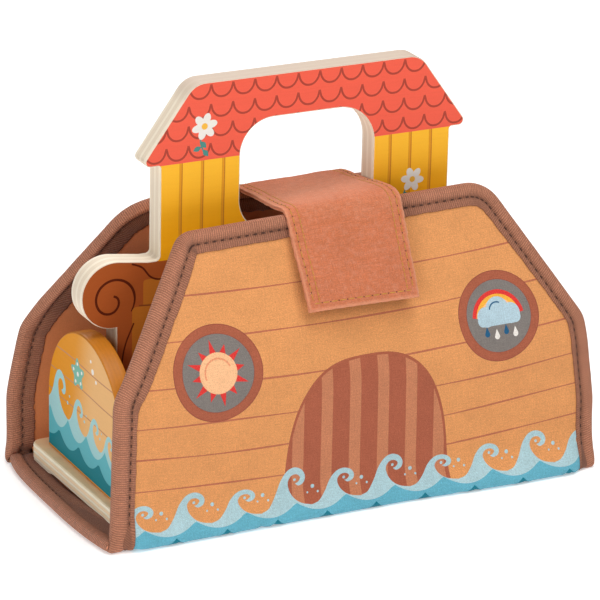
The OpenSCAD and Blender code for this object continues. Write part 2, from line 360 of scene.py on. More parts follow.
# ------------------------------------------------------------------ materials
class Mat:
    """A node material built step by step."""

    def __init__(self, name):
        self.m = bpy.data.materials.new(name)
        self.m.use_nodes = True
        self.t = self.m.node_tree
        self.t.nodes.clear()
        self.out = self.n("ShaderNodeOutputMaterial")
        self.b = self.n("ShaderNodeBsdfPrincipled")
        self.l(self.b.outputs[0], self.out.inputs[0])

    def n(self, kind, **props):
        node = self.t.nodes.new(kind)
        for k, v in props.items():
            setattr(node, k, v)
        return node

    def l(self, a, b):
        self.t.links.new(a, b)

    def set(self, **kw):
        for k, v in kw.items():
            self.b.inputs[k.replace("_", " ")].default_value = v

    def attr(self, name, what="Vector"):
        return self.n("ShaderNodeAttribute", attribute_name=name, attribute_type="GEOMETRY").outputs[what]

    def object(self):
        return self.n("ShaderNodeTexCoord").outputs["Object"]

    def val(self, x, sock):
        if isinstance(x, (int, float)):
            sock.default_value = x
        elif isinstance(x, (tuple, list)):
            sock.default_value = x
        else:
            self.l(x, sock)

    def math(self, op, a, b=0.0, c=0.0, clamp=False):
        node = self.n("ShaderNodeMath", operation=op, use_clamp=clamp)
        for x, s in zip((a, b, c), node.inputs):
            self.val(x, s)
        return node.outputs[0]

    def xyz(self, vec):
        node = self.n("ShaderNodeSeparateXYZ")
        self.l(vec, node.inputs[0])
        return node.outputs

    def scale(self, vec, by):
        node = self.n("ShaderNodeVectorMath", operation="MULTIPLY")
        self.l(vec, node.inputs[0])
        node.inputs[1].default_value = by
        return node.outputs[0]

    def noise(self, vec, scale, detail=2.0, rough=0.5, out="Fac"):
        node = self.n("ShaderNodeTexNoise", noise_dimensions="3D")
        self.l(vec, node.inputs["Vector"])
        node.inputs["Scale"].default_value = scale
        node.inputs["Detail"].default_value = detail
        node.inputs["Roughness"].default_value = rough
        return node.outputs[out]

    def ramp(self, fac, stops):
        node = self.n("ShaderNodeValToRGB")
        self.l(fac, node.inputs[0])
        e = node.color_ramp.elements
        while len(e) < len(stops):
            e.new(0.5)
        for el, (p, c) in zip(e, stops):
            el.position = p
            el.color = c if len(c) == 4 else lin(c)
        return node.outputs[0]

    def mix(self, fac, a, b, how="MIX"):
        node = self.n("ShaderNodeMix", data_type="RGBA", blend_type=how)
        self.val(fac, node.inputs["Factor"])
        self.val(a, node.inputs[6])
        self.val(b, node.inputs[7])
        return node.outputs[2]

    def tint(self, colour, fac, depth):
        """The colour made lighter and darker by depth, as fac goes from 0 to 1."""
        k = self.math("MULTIPLY_ADD", fac, 2 * depth, 1 - depth)
        node = self.n("ShaderNodeVectorMath", operation="SCALE")
        self.val(colour if not isinstance(colour, (list, tuple)) else tuple(colour[:3]), node.inputs[0])
        self.l(k, node.inputs["Scale"])
        return node.outputs[0]

    def bump(self, height, dist, strength=1.0):
        node = self.n("ShaderNodeBump")
        node.inputs["Strength"].default_value = strength
        node.inputs["Distance"].default_value = dist
        self.l(height, node.inputs["Height"])
        self.l(node.outputs[0], self.b.inputs["Normal"])

    def base(self, colour):
        self.l(colour, self.b.inputs["Base Color"])


def weave(m, vec, pitch, wander=0.35):
    """Height of a plain weave from 0 to 1, with uneven yarns. vec is in millimetres."""
    drift = m.noise(vec, 0.35, 2.0)
    x, y, _ = m.xyz(vec)
    k = 2 * PI / pitch
    shift = m.math("MULTIPLY", drift, wander * 6.0)
    sx = m.math("SINE", m.math("MULTIPLY_ADD", x, k, shift))
    sy = m.math("SINE", m.math("MULTIPLY_ADD", y, k, shift))
    prod = m.math("MULTIPLY", sx, sy)
    return m.math("MULTIPLY_ADD", prod, 0.5, 0.5)


def cloth_material(name, colour, pitch=0.9, tone=0.07, rough=0.9, sheen=0.18, depth=0.00016, specks=0.0, fuzz=1.6, worn=0.0, edge_highlight=0.0, weft_lines=0.0, crest=0.0):
    """Woven cloth. worn is how much it is rubbed in patches, the edge highlight how much paler the strap's folded edges
    and free end are painted, as a painted highlight, crest how much painted highlight lies across the strap where it
    turns down, and weft_lines how much thicker yarns show across it.
    """
    m = Mat(name)
    vec = m.attr("flat")
    w = weave(m, vec, pitch)
    grain = m.noise(vec, fuzz, 3.0, 0.65)
    warp = m.noise(m.scale(vec, (1.7, 0.15, 1.0)), 1.0, 3.0, 0.6)
    weft = m.noise(m.scale(vec, (0.15, 1.7, 1.0)), 1.0, 3.0, 0.6)
    slub = m.math("MULTIPLY", m.math("ADD", warp, weft), 0.5)
    broad = m.noise(vec, 0.055, 3.0, 0.55)
    c = m.attr("paint", "Color") if colour is None else lin(colour)
    c = m.tint(c, grain, tone * 1.9)
    c = m.tint(c, slub, tone * 1.6)
    c = m.tint(c, w, tone * 1.0)
    c = m.tint(c, broad, tone * 0.6)
    if weft_lines:
        c = m.tint(c, m.noise(m.scale(vec, (0.10, 0.85, 1.0)), 1.0, 3.0, 0.6), weft_lines)
    if worn:
        rubbed = m.ramp(m.noise(vec, 0.30, 5.0, 0.72), [(0.46, (0, 0, 0, 1)), (0.70, (1, 1, 1, 1))])
        c = m.mix(m.math("MULTIPLY", rubbed, worn), c, tuple(lin((232, 178, 154))))
    # painted highlight: a pale band across the strap where it turns down
    if crest:
        _, y, _ = m.xyz(vec)
        band = m.math("ABSOLUTE", m.math("SUBTRACT", y, 96.0))
        band = m.math("ADD", band, m.math("MULTIPLY_ADD", m.noise(vec, 0.07, 3.0, 0.6), 36.0, -18.0))
        band = m.ramp(m.math("MULTIPLY", band, 0.03), [(0.15, (1, 1, 1, 1)), (0.90, (0, 0, 0, 1))])
        c = m.mix(m.math("MULTIPLY", band, crest), c, tuple(lin((244, 186, 154))))
    # painted highlight: the strap's folded edges and its free end are made paler
    if edge_highlight:
        x, y, _ = m.xyz(vec)
        near = m.math("MINIMUM", m.math("MINIMUM", x, m.math("SUBTRACT", 65.0, x)), m.math("SUBTRACT", 172.0, y))
        near = m.math("ADD", near, m.math("MULTIPLY_ADD", m.noise(vec, 0.8, 3.0, 0.6), 1.6, -0.8))
        near = m.ramp(m.math("MULTIPLY_ADD", near, 0.4, 0.1), [(0.0, (1, 1, 1, 1)), (0.75, (0, 0, 0, 1))])
        c = m.mix(m.math("MULTIPLY", near, edge_highlight), c, tuple(lin((240, 168, 132))))
    if specks:
        dust = m.ramp(m.noise(vec, 1.05, 1.0, 0.4), [(0.765, (0, 0, 0, 1)), (0.795, (1, 1, 1, 1))])
        c = m.mix(m.math("MULTIPLY", dust, specks), c, tuple(lin((238, 224, 210))))
    m.base(c)
    m.set(Roughness=rough, Sheen_Weight=sheen, Sheen_Roughness=0.45, Specular_IOR_Level=0.22)
    h = m.math("ADD", m.math("MULTIPLY", w, 0.6), m.math("ADD", m.math("MULTIPLY", grain, 0.9), m.math("MULTIPLY", slub, 0.9)))
    m.bump(h, depth, 0.75)
    return m.m


def tape_material(name, colour, ribs=1.0):
    """Ribbed woven tape: ribs run across it. The third cloth coordinate carries painted light and shade: 1 is a painted
    highlight on the crest of the roll, -1 painted shade on the flat band, and lower values deeper painted shade in the
    seam.
    """
    m = Mat(name)
    vec = m.attr("flat")
    u, v, light_shade = m.xyz(vec)
    drift = m.noise(vec, 0.7, 3.0)
    way = m.math("MULTIPLY_ADD", drift, 1.1, u)
    rib = m.math("MULTIPLY_ADD", m.math("SINE", m.math("MULTIPLY", way, 2 * PI / 1.28)), 0.5, 0.5)
    fine = m.math("MULTIPLY_ADD", m.math("SINE", m.math("MULTIPLY_ADD", v, 2 * PI / 1.15, m.math("MULTIPLY", drift, 5.0))), 0.5, 0.5)
    knot = m.math("MULTIPLY", rib, m.math("MULTIPLY_ADD", fine, 0.55, 0.45))
    grain = m.noise(vec, 1.7, 3.0, 0.7)
    broad = m.noise(vec, 0.12, 3.0)
    c = m.tint(lin(colour), rib, 0.13 * ribs)
    c = m.tint(c, knot, 0.17 * ribs)
    c = m.tint(c, grain, 0.36)
    c = m.tint(c, broad, 0.16)
    # painted light and shade: the tape is made lighter on the roll's crest and darker on its flat band and in its seam
    c = m.tint(c, m.math("MULTIPLY_ADD", light_shade, 0.5, 0.5), 0.15)
    m.base(c)
    m.set(Roughness=0.82, Sheen_Weight=0.12, Sheen_Roughness=0.4, Specular_IOR_Level=0.2)
    h = m.math("ADD", m.math("MULTIPLY", rib, 0.6), m.math("ADD", m.math("MULTIPLY", grain, 0.6), m.math("MULTIPLY", knot, 0.5)))
    m.bump(h, 0.0004 * ribs, 0.8)
    return m.m


def thread_material(name, colour):
    m = Mat(name)
    vec = m.scale(m.object(), (1000, 1000, 1000))
    c = m.tint(lin(colour), m.noise(vec, 2.2, 2.0), 0.35)
    m.base(c)
    m.set(Roughness=0.7, Sheen_Weight=0.1, Specular_IOR_Level=0.3)
    m.bump(m.noise(vec, 4.0, 2.0), 0.0001, 0.5)
    return m.m


def print_material(name, depth=0.00006, rough=0.5):
    """Ink printed straight on sanded plywood: the veneer's grain shows faintly through."""
    m = Mat(name)
    vec = m.attr("flat")
    long = m.noise(m.scale(vec, (0.06, 0.9, 0.9)), 1.0, 4.0, 0.6)
    fine = m.noise(vec, 1.3, 3.0, 0.7)
    c = m.tint(m.attr("paint", "Color"), fine, 0.06)
    c = m.tint(c, long, 0.05)
    m.base(c)
    m.set(Roughness=rough, Specular_IOR_Level=0.10, Coat_Weight=0.02, Coat_Roughness=0.35)
    h = m.math("ADD", m.math("MULTIPLY", long, 0.6), m.math("MULTIPLY", fine, 0.5))
    m.bump(h, depth, 0.5)
    return m.m


def ply_edge_material(name, layer, light=(236, 226, 208), dark=(200, 181, 156), deep=0.5):
    """Cut edge of plywood: end-grain and long-grain plies in turn, with thin glue lines. flat holds the length along the edge, the place through the thickness, and the height."""
    m = Mat(name)
    vec = m.attr("flat")
    u, v, high = m.xyz(vec)
    wander = m.math("MULTIPLY_ADD", m.noise(m.scale(vec, (0.03, 0.1, 0.1)), 1.0, 2.0), 0.7, -0.35)
    ply = m.math("MULTIPLY", m.math("ADD", v, wander), 1.0 / layer)
    tri = m.math("PINGPONG", ply, 1.0)
    band = m.ramp(tri, [(0.30, (0, 0, 0, 1)), (0.62, (1, 1, 1, 1))])
    glue = m.math("ABSOLUTE", m.math("SUBTRACT", tri, 0.46))
    glue = m.ramp(glue, [(0.02, (1, 1, 1, 1)), (0.09, (0, 0, 0, 1))])
    streak = m.noise(m.scale(vec, (0.09, 2.2, 2.2)), 1.0, 4.0, 0.65)
    pores = m.noise(m.scale(vec, (1.6, 1.2, 1.6)), 1.0, 3.0, 0.7)
    a = m.tint(lin(light), streak, 0.10)
    b = m.tint(lin(dark), pores, 0.22)
    c = m.mix(m.math("MULTIPLY", band, deep), a, b)
    c = m.mix(m.math("MULTIPLY", glue, deep * 0.5), c, tuple(lin((150, 122, 96))))
    # the top of the handle is greyed by use
    handled = m.ramp(m.math("MULTIPLY_ADD", high, 0.08, -17.9), [(0.0, (0, 0, 0, 1)), (0.85, (1, 1, 1, 1))])
    c = m.mix(m.math("MULTIPLY", handled, 0.82), c, tuple(lin((202, 181, 164))))
    m.base(c)
    m.set(Roughness=0.62, Specular_IOR_Level=0.3)
    h = m.math("ADD", m.math("MULTIPLY", band, -0.6), m.math("ADD", m.math("MULTIPLY", streak, 0.5), m.math("MULTIPLY", pores, 0.4)))
    m.bump(h, 0.00012, 0.6)
    return m.m


def veneer_material(name, colour=(246, 209, 162), along="X"):
    """Clear face veneer of birch: long soft flames and short pores."""
    m = Mat(name)
    vec = m.scale(m.object(), (1000, 1000, 1000))
    k = (0.02, 0.16, 0.16) if along == "X" else (0.16, 0.02, 0.16)
    flame = m.noise(m.scale(vec, k), 1.0, 4.0, 0.55)
    k = (0.12, 2.0, 2.0) if along == "X" else (2.0, 0.12, 2.0)
    pores = m.noise(m.scale(vec, k), 1.0, 3.0, 0.7)
    c = m.tint(lin(colour), flame, 0.14)
    c = m.tint(c, pores, 0.10)
    m.base(c)
    m.set(Roughness=0.58, Specular_IOR_Level=0.32)
    m.bump(m.math("ADD", m.math("MULTIPLY", flame, 0.3), pores), 0.0001, 0.5)
    return m.m


def paint_edge_material(name, colour):
    """Brushed paint on a cut plywood edge: the plies show as faint ridges."""
    m = Mat(name)
    vec = m.attr("flat")
    u, v, _ = m.xyz(vec)
    ridge = m.math("MULTIPLY_ADD", m.math("SINE", m.math("MULTIPLY", v, 2 * PI / 2.3)), 0.5, 0.5)
    long = m.noise(m.scale(vec, (0.08, 1.6, 1.6)), 1.0, 3.0, 0.6)
    broad = m.noise(vec, 0.08, 2.0)
    c = m.tint(lin(colour), long, 0.12)
    c = m.tint(c, broad, 0.07)
    c = m.tint(c, ridge, 0.03)
    m.base(c)
    m.set(Roughness=0.42, Specular_IOR_Level=0.28, Coat_Weight=0.04, Coat_Roughness=0.3)
    m.bump(m.math("ADD", m.math("MULTIPLY", ridge, 0.3), m.math("MULTIPLY", long, 0.7)), 0.0001, 0.5)
    return m.m


def nap_material(name, colour):
    """Hook or loop tape: a dense, uneven nap."""
    m = Mat(name)
    vec = m.scale(m.object(), (1000, 1000, 1000))
    fuzz = m.noise(vec, 1.9, 4.0, 0.75)
    c = m.tint(lin(colour), fuzz, 0.45)
    m.base(c)
    m.set(Roughness=0.95, Sheen_Weight=0.3, Sheen_Roughness=0.4, Specular_IOR_Level=0.2)
    m.bump(fuzz, 0.0006, 1.0)
    return m.m


def plain_grain(name, colour, rough, metal=0.0, scale=1.2, depth=0.00008, tone=0.1):
    m = Mat(name)
    vec = m.scale(m.object(), (1000, 1000, 1000))
    g = m.noise(vec, scale, 3.0, 0.65)
    m.base(m.tint(lin(colour), g, tone))
    m.set(Roughness=rough, Metallic=metal)
    m.bump(g, depth, 0.5)
    return m.m


CANVAS = cloth_material("canvas_print", None, tone=0.21, fuzz=1.2, depth=0.00022)
# the strap gets painted highlights along its folded edges and across its bend
STRAP = cloth_material("strap_canvas", (203, 117, 79), pitch=0.8, tone=0.24, fuzz=1.3, sheen=0.16, specks=0.45, depth=0.00036, worn=0.22, edge_highlight=0.55, weft_lines=0.14, crest=0.15)
LINING_CLOTH = cloth_material("lining_cloth", LINING, pitch=0.6, tone=0.10, rough=0.85, sheen=0.25, depth=0.00014)
UNDER_CLOTH = cloth_material("under_canvas", (104, 158, 172), tone=0.12)
TAPE = tape_material("binding_tape", (176, 118, 92), 1.1)
END_TAPE = tape_material("end_tape", (190, 127, 99), 1.9)
THREAD = thread_material("thread_brown", (78, 44, 32))
THREAD_OCHRE = thread_material("thread_ochre", (200, 146, 62))
PRINT = print_material("wood_print")
PLY_EDGE = ply_edge_material("ply_edge", 2.8, (246, 232, 210), (214, 190, 160), 0.36)
PLATE_EDGE = ply_edge_material("plate_edge", 1.75, (255, 246, 222), (252, 218, 168), 0.68)
VENEER = veneer_material("ply_face")
OCHRE_EDGE = paint_edge_material("ochre_edge", (202, 124, 26))
NAP_LOOP = nap_material("loop_nap", (150, 96, 70))
NAP_HOOK = nap_material("hook_nap", (120, 78, 60))
BOARD = plain_grain("grey_board", (150, 142, 132), 0.9, tone=0.15)
BEECH = plain_grain("beech_wood", (206, 168, 126), 0.6, scale=0.7, tone=0.15)
STEEL = plain_grain("zinc_steel", (176, 178, 182), 0.35, metal=1.0, scale=3.0, depth=0.00003, tone=0.08)

for node, mat in {
    "base_stiffener": BOARD, "dowels": BEECH, "screws": STEEL,
}.items():
    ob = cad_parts[node]
    ob.data.materials.clear()
    ob.data.materials.append(mat)


# ------------------------------------------------------------------ print motifs
def crest(x0, y0, p, h, mirror=False):
    """One running wave with a rolled crest."""
    up = spline([(0, .02), (.16, .10), (.31, .36), (.42, .70), (.55, .93), (.70, .99), (.84, .90), (.91, .72), (.88, .56), (.78, .50), (.71, .57)], 5)
    down = spline([(.71, .57), (.77, .60), (.81, .70), (.74, .80), (.63, .78), (.565, .62), (.60, .38), (.70, .18), (.84, .07), (1.0, .02)], 5)
    line = np.concatenate([up, down[1:], [(1.0, -.25), (0, -.25)]])
    if mirror:
        line = np.stack([1 - line[::-1, 0], line[::-1, 1]], 1)
    return np.stack([x0 + line[:, 0] * p, y0 + line[:, 1] * h], 1)


def scallop_band(x0, x1, low, top, depth, pitch, phase=0.0, slope=0.0):
    """A band whose upper edge is a row of hollows with points between them."""
    x = np.arange(x0, x1 + 0.01, pitch / 14)
    t = np.mod((x - x0) / pitch + phase, 1.0)
    y = top + slope * (x - x0) - depth * (1 - np.abs(2 * t - 1) ** 2.0)
    return np.concatenate([np.stack([x, y], 1), [(x1, low), (x0, low)]])


def waves(x0, x1, foot, unit, height, sizes, mirror=False):
    """A border of running waves in three blues, with drops over it. foot is the height of the cloth's lower edge."""
    out = []
    n = int(round((x1 - x0) / unit))
    p = (x1 - x0) / n
    low = foot - 12.0
    base = foot + height * 0.46
    size = [sizes[i % len(sizes)] for i in range(n)]
    out.append((np.array([(x0, low), (x1, low), (x1, base - 0.1 * height), (x0, base - 0.1 * height)]), WAVE_1))
    for i in range(n):
        out.append((crest(x0 + i * p, base, p, height * size[i], mirror), WAVE_1))
    for i in range(n):
        cx = x0 + (i + (0.06 if not mirror else 0.94)) * p
        for dx, dy, rad in ((0.0, 0.52, 0.060), (0.10, 0.34, 0.035), (-0.11, 0.36, 0.030)):
            out.append((disc(cx + dx * p, base + dy * height, rad * height, 14), WAVE_1))
        eye = x0 + (i + (0.70 if not mirror else 0.30)) * p
        out.append((disc(eye, base + 0.67 * height * size[i], 0.045 * height, 14), WAVE_1))
    out.append((scallop_band(x0, x1, low, foot + height * 0.60, height * 0.28, p, 0.30), WAVE_2))
    out.append((scallop_band(x0, x1, low, foot + height * 0.26, height * 0.46, p, 0.72), WAVE_3))
    return out


def end_waves():
    """Waves of an end wall, the highest at one side."""
    out = []
    sea = [(-53, 43), (-24, 39.5), (0, 38.0), (22, 37.0), (40, 36.2), (53, 35.6)]
    out.append((np.array(sea + [(53, 12), (-53, 12)]), END_WAVES[0]))
    for x, y, p, h, drop in ((-53, 45, 30, 25, 4.0), (-24, 41, 24, 19, 1.5), (-1, 39.5, 22, 17, 1.0), (20, 38.5, 20, 15, 1.0), (39, 37.5, 18, 13, 0.8)):
        line = crest(x, y, p, h)
        line[:, 1] -= drop * (line[:, 0] - x) / p
        out.append((line, END_WAVES[0]))
        out.append((disc(x + 0.04 * p, y + 0.55 * h, 0.055 * h, 14), END_WAVES[0]))
        out.append((disc(x + 0.15 * p, y + 0.80 * h, 0.04 * h, 14), END_WAVES[0]))
    out.append((scallop_band(-53, 53, 12, 41.5, 8.5, 25.0, 0.78), END_WAVES[1]))
    out.append((scallop_band(-53, 53, 12, 31.5, 7.0, 27.0, 0.32), END_WAVES[2]))
    return out


def planks(x0, x1, heights, rise, width, colour, seed):
    """Seams between planks that rise a little towards both ends."""
    out = []
    r = np.random.default_rng(seed)
    for k, y0 in enumerate(heights):
        x = np.linspace(x0, x1, 60)
        y = y0 + rise * (x / 150.0) ** 2 + 0.25 * np.sin(x / r.uniform(18, 30) + r.uniform(0, 6))
        w = width * (1 + 0.25 * np.sin(x / r.uniform(9, 16) + r.uniform(0, 6)))
        out.append((stroke(np.stack([x, y], 1), w), colour))
    return out


def door(cx, low, half, high):
    """A plain round-headed door of upright boards, narrow light ones between wide dark ones."""
    def head(x, h, top):
        return low + top * np.maximum(0.0, 1 - np.abs((x - cx) / h) ** 2.85) ** (1 / 2.85)

    a = np.linspace(0, PI, 61)
    x = cx + half * np.sign(np.cos(a)) * np.abs(np.cos(a)) ** (2 / 2.85)
    out = [(np.stack([x, low + high * np.sin(a).clip(0) ** (2 / 2.85)], 1), DOOR)]
    inner, top = half - 1.5, high - 1.5
    for k in range(-1, 5):
        x0 = cx - 28.4 + 17.45 * k
        xs = np.linspace(min(x0 + 6.9, cx + inner - 0.2), max(x0, cx - inner + 0.2), 10)
        out.append((np.concatenate([[(xs[-1], low), (xs[0], low)], np.stack([xs, head(xs, inner, top)], 1)]), DOOR_TAN))
    return out


def porthole(cx, cy, r):
    return [(disc(cx, cy, r + 0.5, 64), DOOR_LINE), (disc(cx, cy, r, 64), DOOR), (disc(cx, cy, r * 0.825, 64), DOOR_LINE), (disc(cx, cy, r * 0.81, 64), GREY)]


def sun(cx, cy, r):
    """A plain sun: a peach disc with red spots of light round it."""
    out = []
    for i in range(12):
        a = 2 * PI * i / 12 + 0.13
        b = 0.17
        far = r * (1.0 if i % 2 else 0.86)
        out.append((np.array([(cx + r * 0.60 * math.cos(a - b), cy + r * 0.60 * math.sin(a - b)), (cx + far * math.cos(a), cy + far * math.sin(a)), (cx + r * 0.60 * math.cos(a + b), cy + r * 0.60 * math.sin(a + b))]), RED))
    out.append((disc(cx, cy, r * 0.60, 48), PEACH))
    out.append((stroke(arc(cx, cy, r * 0.42, 20, 200, 24), 0.9), (232, 150, 110)))
    return out


def cloud(cx, cy, r):
    """A rain cloud over falling drops, with a bow behind it."""
    out = []
    for k, c in enumerate(((RED), (246, 176, 62), PEACH)):
        out.append((stroke(arc(cx - r * 0.02, cy - r * 0.12, r * (0.80 - 0.13 * k), 8, 172, 40), r * 0.13), c))
    for dx, dy, s in ((-0.42, -0.02, 0.30), (-0.02, 0.16, 0.38), (0.40, 0.0, 0.31)):
        out.append((disc(cx + dx * r, cy + dy * r, s * r, 40), PALE_BLUE))
    out.append((rounded([(cx - 0.72 * r, cy - 0.30 * r), (cx + 0.71 * r, cy - 0.30 * r), (cx + 0.71 * r, cy + 0.06 * r), (cx - 0.72 * r, cy + 0.06 * r)], [r * 0.17] * 4), PALE_BLUE))
    out.append((stroke(arc(cx - 0.04 * r, cy + 0.14 * r, 0.24 * r, 60, 170, 14), 0.8), NAVY))
    for i, dx in enumerate((-0.46, -0.14, 0.18, 0.48)):
        x, y = cx + dx * r, cy - (0.52 + 0.10 * (i % 2)) * r
        s = 0.085 * r
        out.append((np.concatenate([arc(x, y, s, 150, 390, 14), [(x, y + 2.6 * s)]]), WHITE if i % 2 else NAVY))
    return out


def blossom(cx, cy, r, turn=0.0, sprig=1.0):
    """A small white flower with a leafy stem."""
    out = []
    a = math.radians(turn - 118)
    stem = spline([(cx, cy), (cx + 1.1 * r * math.cos(a), cy + 1.1 * r * math.sin(a)), (cx + 1.9 * r * math.cos(a + 0.25), cy + 1.9 * r * math.sin(a + 0.25))], 8)
    out.append((stroke(stem, 0.9), LEAF))
    for k, s in ((0.55, 1), (0.75, -1), (0.92, 1)):
        q = stem[int(k * (len(stem) - 1))]
        b = a + s * 0.95
        tip = q + 0.72 * r * sprig * np.array([math.cos(b), math.sin(b)])
        n = np.array([-math.sin(b), math.cos(b)])
        mid = (q + tip) / 2
        out.append((np.concatenate([spline([q, mid + n * 0.2 * r, tip], 5), spline([tip, mid - n * 0.2 * r, q], 5)[1:-1]]), LEAF))
    for i in range(6):
        b = math.radians(turn + 60 * i)
        c, s = math.cos(b), math.sin(b)
        e = disc(0.56 * r, 0, 0.44 * r, 22, 0.29 * r)
        out.append((np.stack([cx + e[:, 0] * c - e[:, 1] * s, cy + e[:, 0] * s + e[:, 1] * c], 1), WHITE))
    out.append((disc(cx, cy, 0.24 * r, 20), (246, 186, 70)))
    return out


def star(cx, cy, r, turn=18.0):
    """A rounded five-armed sea star with dots."""
    pts = []
    for i in range(10):
        a = math.radians(turn + 36 * i)
        q = r if i % 2 == 0 else 0.46 * r
        pts.append((cx + q * math.cos(a), cy + q * math.sin(a)))
    out = [(rounded(pts, [0.14 * r, 0.18 * r] * 5, step=0.4), MINT)]
    for i in range(5):
        a = math.radians(turn + 72 * i)
        out.append((disc(cx + 0.5 * r * math.cos(a), cy + 0.5 * r * math.sin(a), 0.09 * r, 12), WHITE))
    out.append((disc(cx, cy, 0.12 * r, 12), WHITE))
    return out


# ------------------------------------------------------------------ panels of the case
D0, BEND_Z, BEND_R, LEAN = 67.7, 70.15, 60.0, math.radians(26.0)
FOLD_R, FOLD_Z = 2.3, 2.6
BEND_L = BEND_R * LEAN


def profile(s):
    """Outer face of a panel at the length s up the cloth: distance from the middle, height and lean. Below 0 the cloth goes on round the fold and under the base."""
    s = np.asarray(s, float)
    t = np.clip((s - BEND_Z) / BEND_R, 0, LEAN)
    rest = np.maximum(s - BEND_Z - BEND_L, 0)
    d = D0 - BEND_R * (1 - np.cos(t)) - rest * math.sin(LEAN)
    z = np.minimum(s, BEND_Z) + BEND_R * np.sin(t) + rest * math.cos(LEAN)
    a = t.copy()
    ph = np.clip((FOLD_Z - s) / FOLD_R, 0, PI / 2)
    low = s < FOLD_Z
    d = np.where(low, D0 - FOLD_R * (1 - np.cos(ph)) - np.maximum(FOLD_Z - s - FOLD_R * PI / 2, 0), d)
    z = np.where(low, FOLD_Z - FOLD_R * np.sin(ph), z)
    return d, z, np.where(low, -ph, a)


_S = np.linspace(0, 200, 2001)
_Z = profile(_S)[1]


def up_cloth(z):
    return float(np.interp(z, _Z, _S)) if z > FOLD_Z else z


def core(s):
    """Thickness of a panel without tape: only cloth at the fold, and the board above it."""
    return 1.3 + 2.9 * smooth((np.asarray(s, float) - 4.0) / 9.0)


def on_panel(side, x, s, n):
    """A place on the front (side -1) or back (side 1) panel, n outside its outer face."""
    x, s, n = np.broadcast_arrays(np.asarray(x, float), np.asarray(s, float), np.asarray(n, float))
    d, z, a = profile(s)
    # the outer cloth bellies at the foot, and neither the lining nor the cloth under the base does
    loose = smooth((n + 4.0) / 3.5) * smooth((s + 9.0) / 9.0)
    d = d + loose * (1.8 + 4.2 * smooth((142 - np.abs(x)) / 9.0)) * np.exp(-(np.minimum(s - 2.5, 60.0) / 9.5) ** 2)
    d, z = d + n * np.cos(a), z + n * np.sin(a)
    lift = np.where((x > 0) & (side < 0), 0.2, 0.7)
    z = z + lift * smooth((np.abs(x) - 128) / 10) * smooth((14 - s) / 12)
    y = side * d
    soft = smooth((s - 12) / 40)
    if side < 0:
        y = y + 3.6 * smooth((x + 150) / 300) * smooth(z / 90)
        y = y - 4.4 * loose * smooth((x - 20) / 80) * (1 - 0.4 * smooth((x - 128) / 20)) * smooth((30 - s) / 30)
        y = y - soft * (0.35 * swell(x, s, 95, 3))
    else:
        y = y + soft * (0.35 * swell(x, s, 95, 4))
        y = y + 4.2 * smooth((-x - 70) / 75) * np.exp(-((s - 44) / 30.0) ** 2)
    return np.stack([x, y, z], -1)


def outline(side):
    """Outer edge of a panel's tape, as corner points (x, length up the cloth) from the left foot to the right one."""
    if side < 0:
        c = [(-150.3, -1.2), (-147.4, 14.0), (-145.4, 84.5), (-91.6, 161.4), (97.2, 164.4), (143.9, 89.4), (149.7, 42.0), (149.2, -1.2)]
        r = [0, 40, 25, 13, 22, 19, 60, 0]
    else:
        c = [(-152.6, -1.2), (-151.0, 40.0), (-144.0, 82.0), (-93.4, 160.6), (93.8, 155.2), (145.6, 84.0), (150.3, -1.2)]
        r = [0, 60, 22, 30, 18, 25, 0]
    return rounded([(x, up_cloth(z)) for x, z in c], r, closed=False, step=1.5)


def from_edge(side, x, s):
    """How far a place on a panel lies inside the tape's outer edge."""
    line = resample(outline(side), 4.0)
    x, s = np.asarray(x, float), np.asarray(s, float)
    best = np.full(x.shape, 1e9)
    for (ax, ay), (bx, by) in zip(line[:-1], line[1:]):
        ex, ey = bx - ax, by - ay
        k = np.clip(((x - ax) * ex + (s - ay) * ey) / (ex * ex + ey * ey), 0, 1)
        best = np.minimum(best, np.hypot(x - ax - k * ex, s - ay - k * ey))
    return best


def panel_loop(side, inset, foot):
    """Closed loop of a panel's layer, that far inside the tape's outer edge, down to foot."""
    line = resample(outline(side), 2.5)
    loop = line + (-normals_2d(line)) * inset
    loop = loop[loop[:, 1] > max(foot, -1.0) + 1.0]
    x0, x1 = line[0, 0] + inset, line[-1, 0] - inset
    return np.concatenate([[(x0, foot)], loop, [(x1, foot)]])[::-1]


def front_print():
    s = []
    s += planks(-150, 150, (27, 45, 63, 84, 109, 133), 7.0, 0.9, PLANK, 5)
    s += door(4.9, 0.0, 50.8, 88.7)
    s += porthole(-84.0, 92.0, 26.0) + sun(-84.0, 92.0, 18.6)
    s += porthole(90.0, 97.0, 25.0) + cloud(90.0, 97.5, 19.0)
    s += waves(-151, 151, 0.0, 30.2, 18.5, (0.86, 1.0, 0.80, 1.22, 0.92, 1.08, 0.78))
    return s


def back_print():
    s = []
    s += planks(-150, 150, (27, 45, 63, 84, 109, 133), 7.0, 0.9, PLANK, 15)
    for x in (-88, 0, 88):
        s += [(disc(x, 84, 19.5, 56), DOOR_LINE), (disc(x, 84, 19, 56), DOOR), (disc(x, 84, 15.2, 56), DOOR_LINE), (disc(x, 84, 14.9, 56), (150, 180, 190))]
        s += [(stroke(np.array([(x - 8, 84 - 3), (x + 3, 84 + 8)]), 2.2), (196, 214, 218)), (stroke(np.array([(x - 4, 84 - 7), (x + 7, 84 + 4)]), 1.4), (196, 214, 218))]
    s += waves(-151, 151, 0.0, 30.2, 18.5, (1.0, 0.8, 1.2, 0.9, 1.1), mirror=True)
    return s


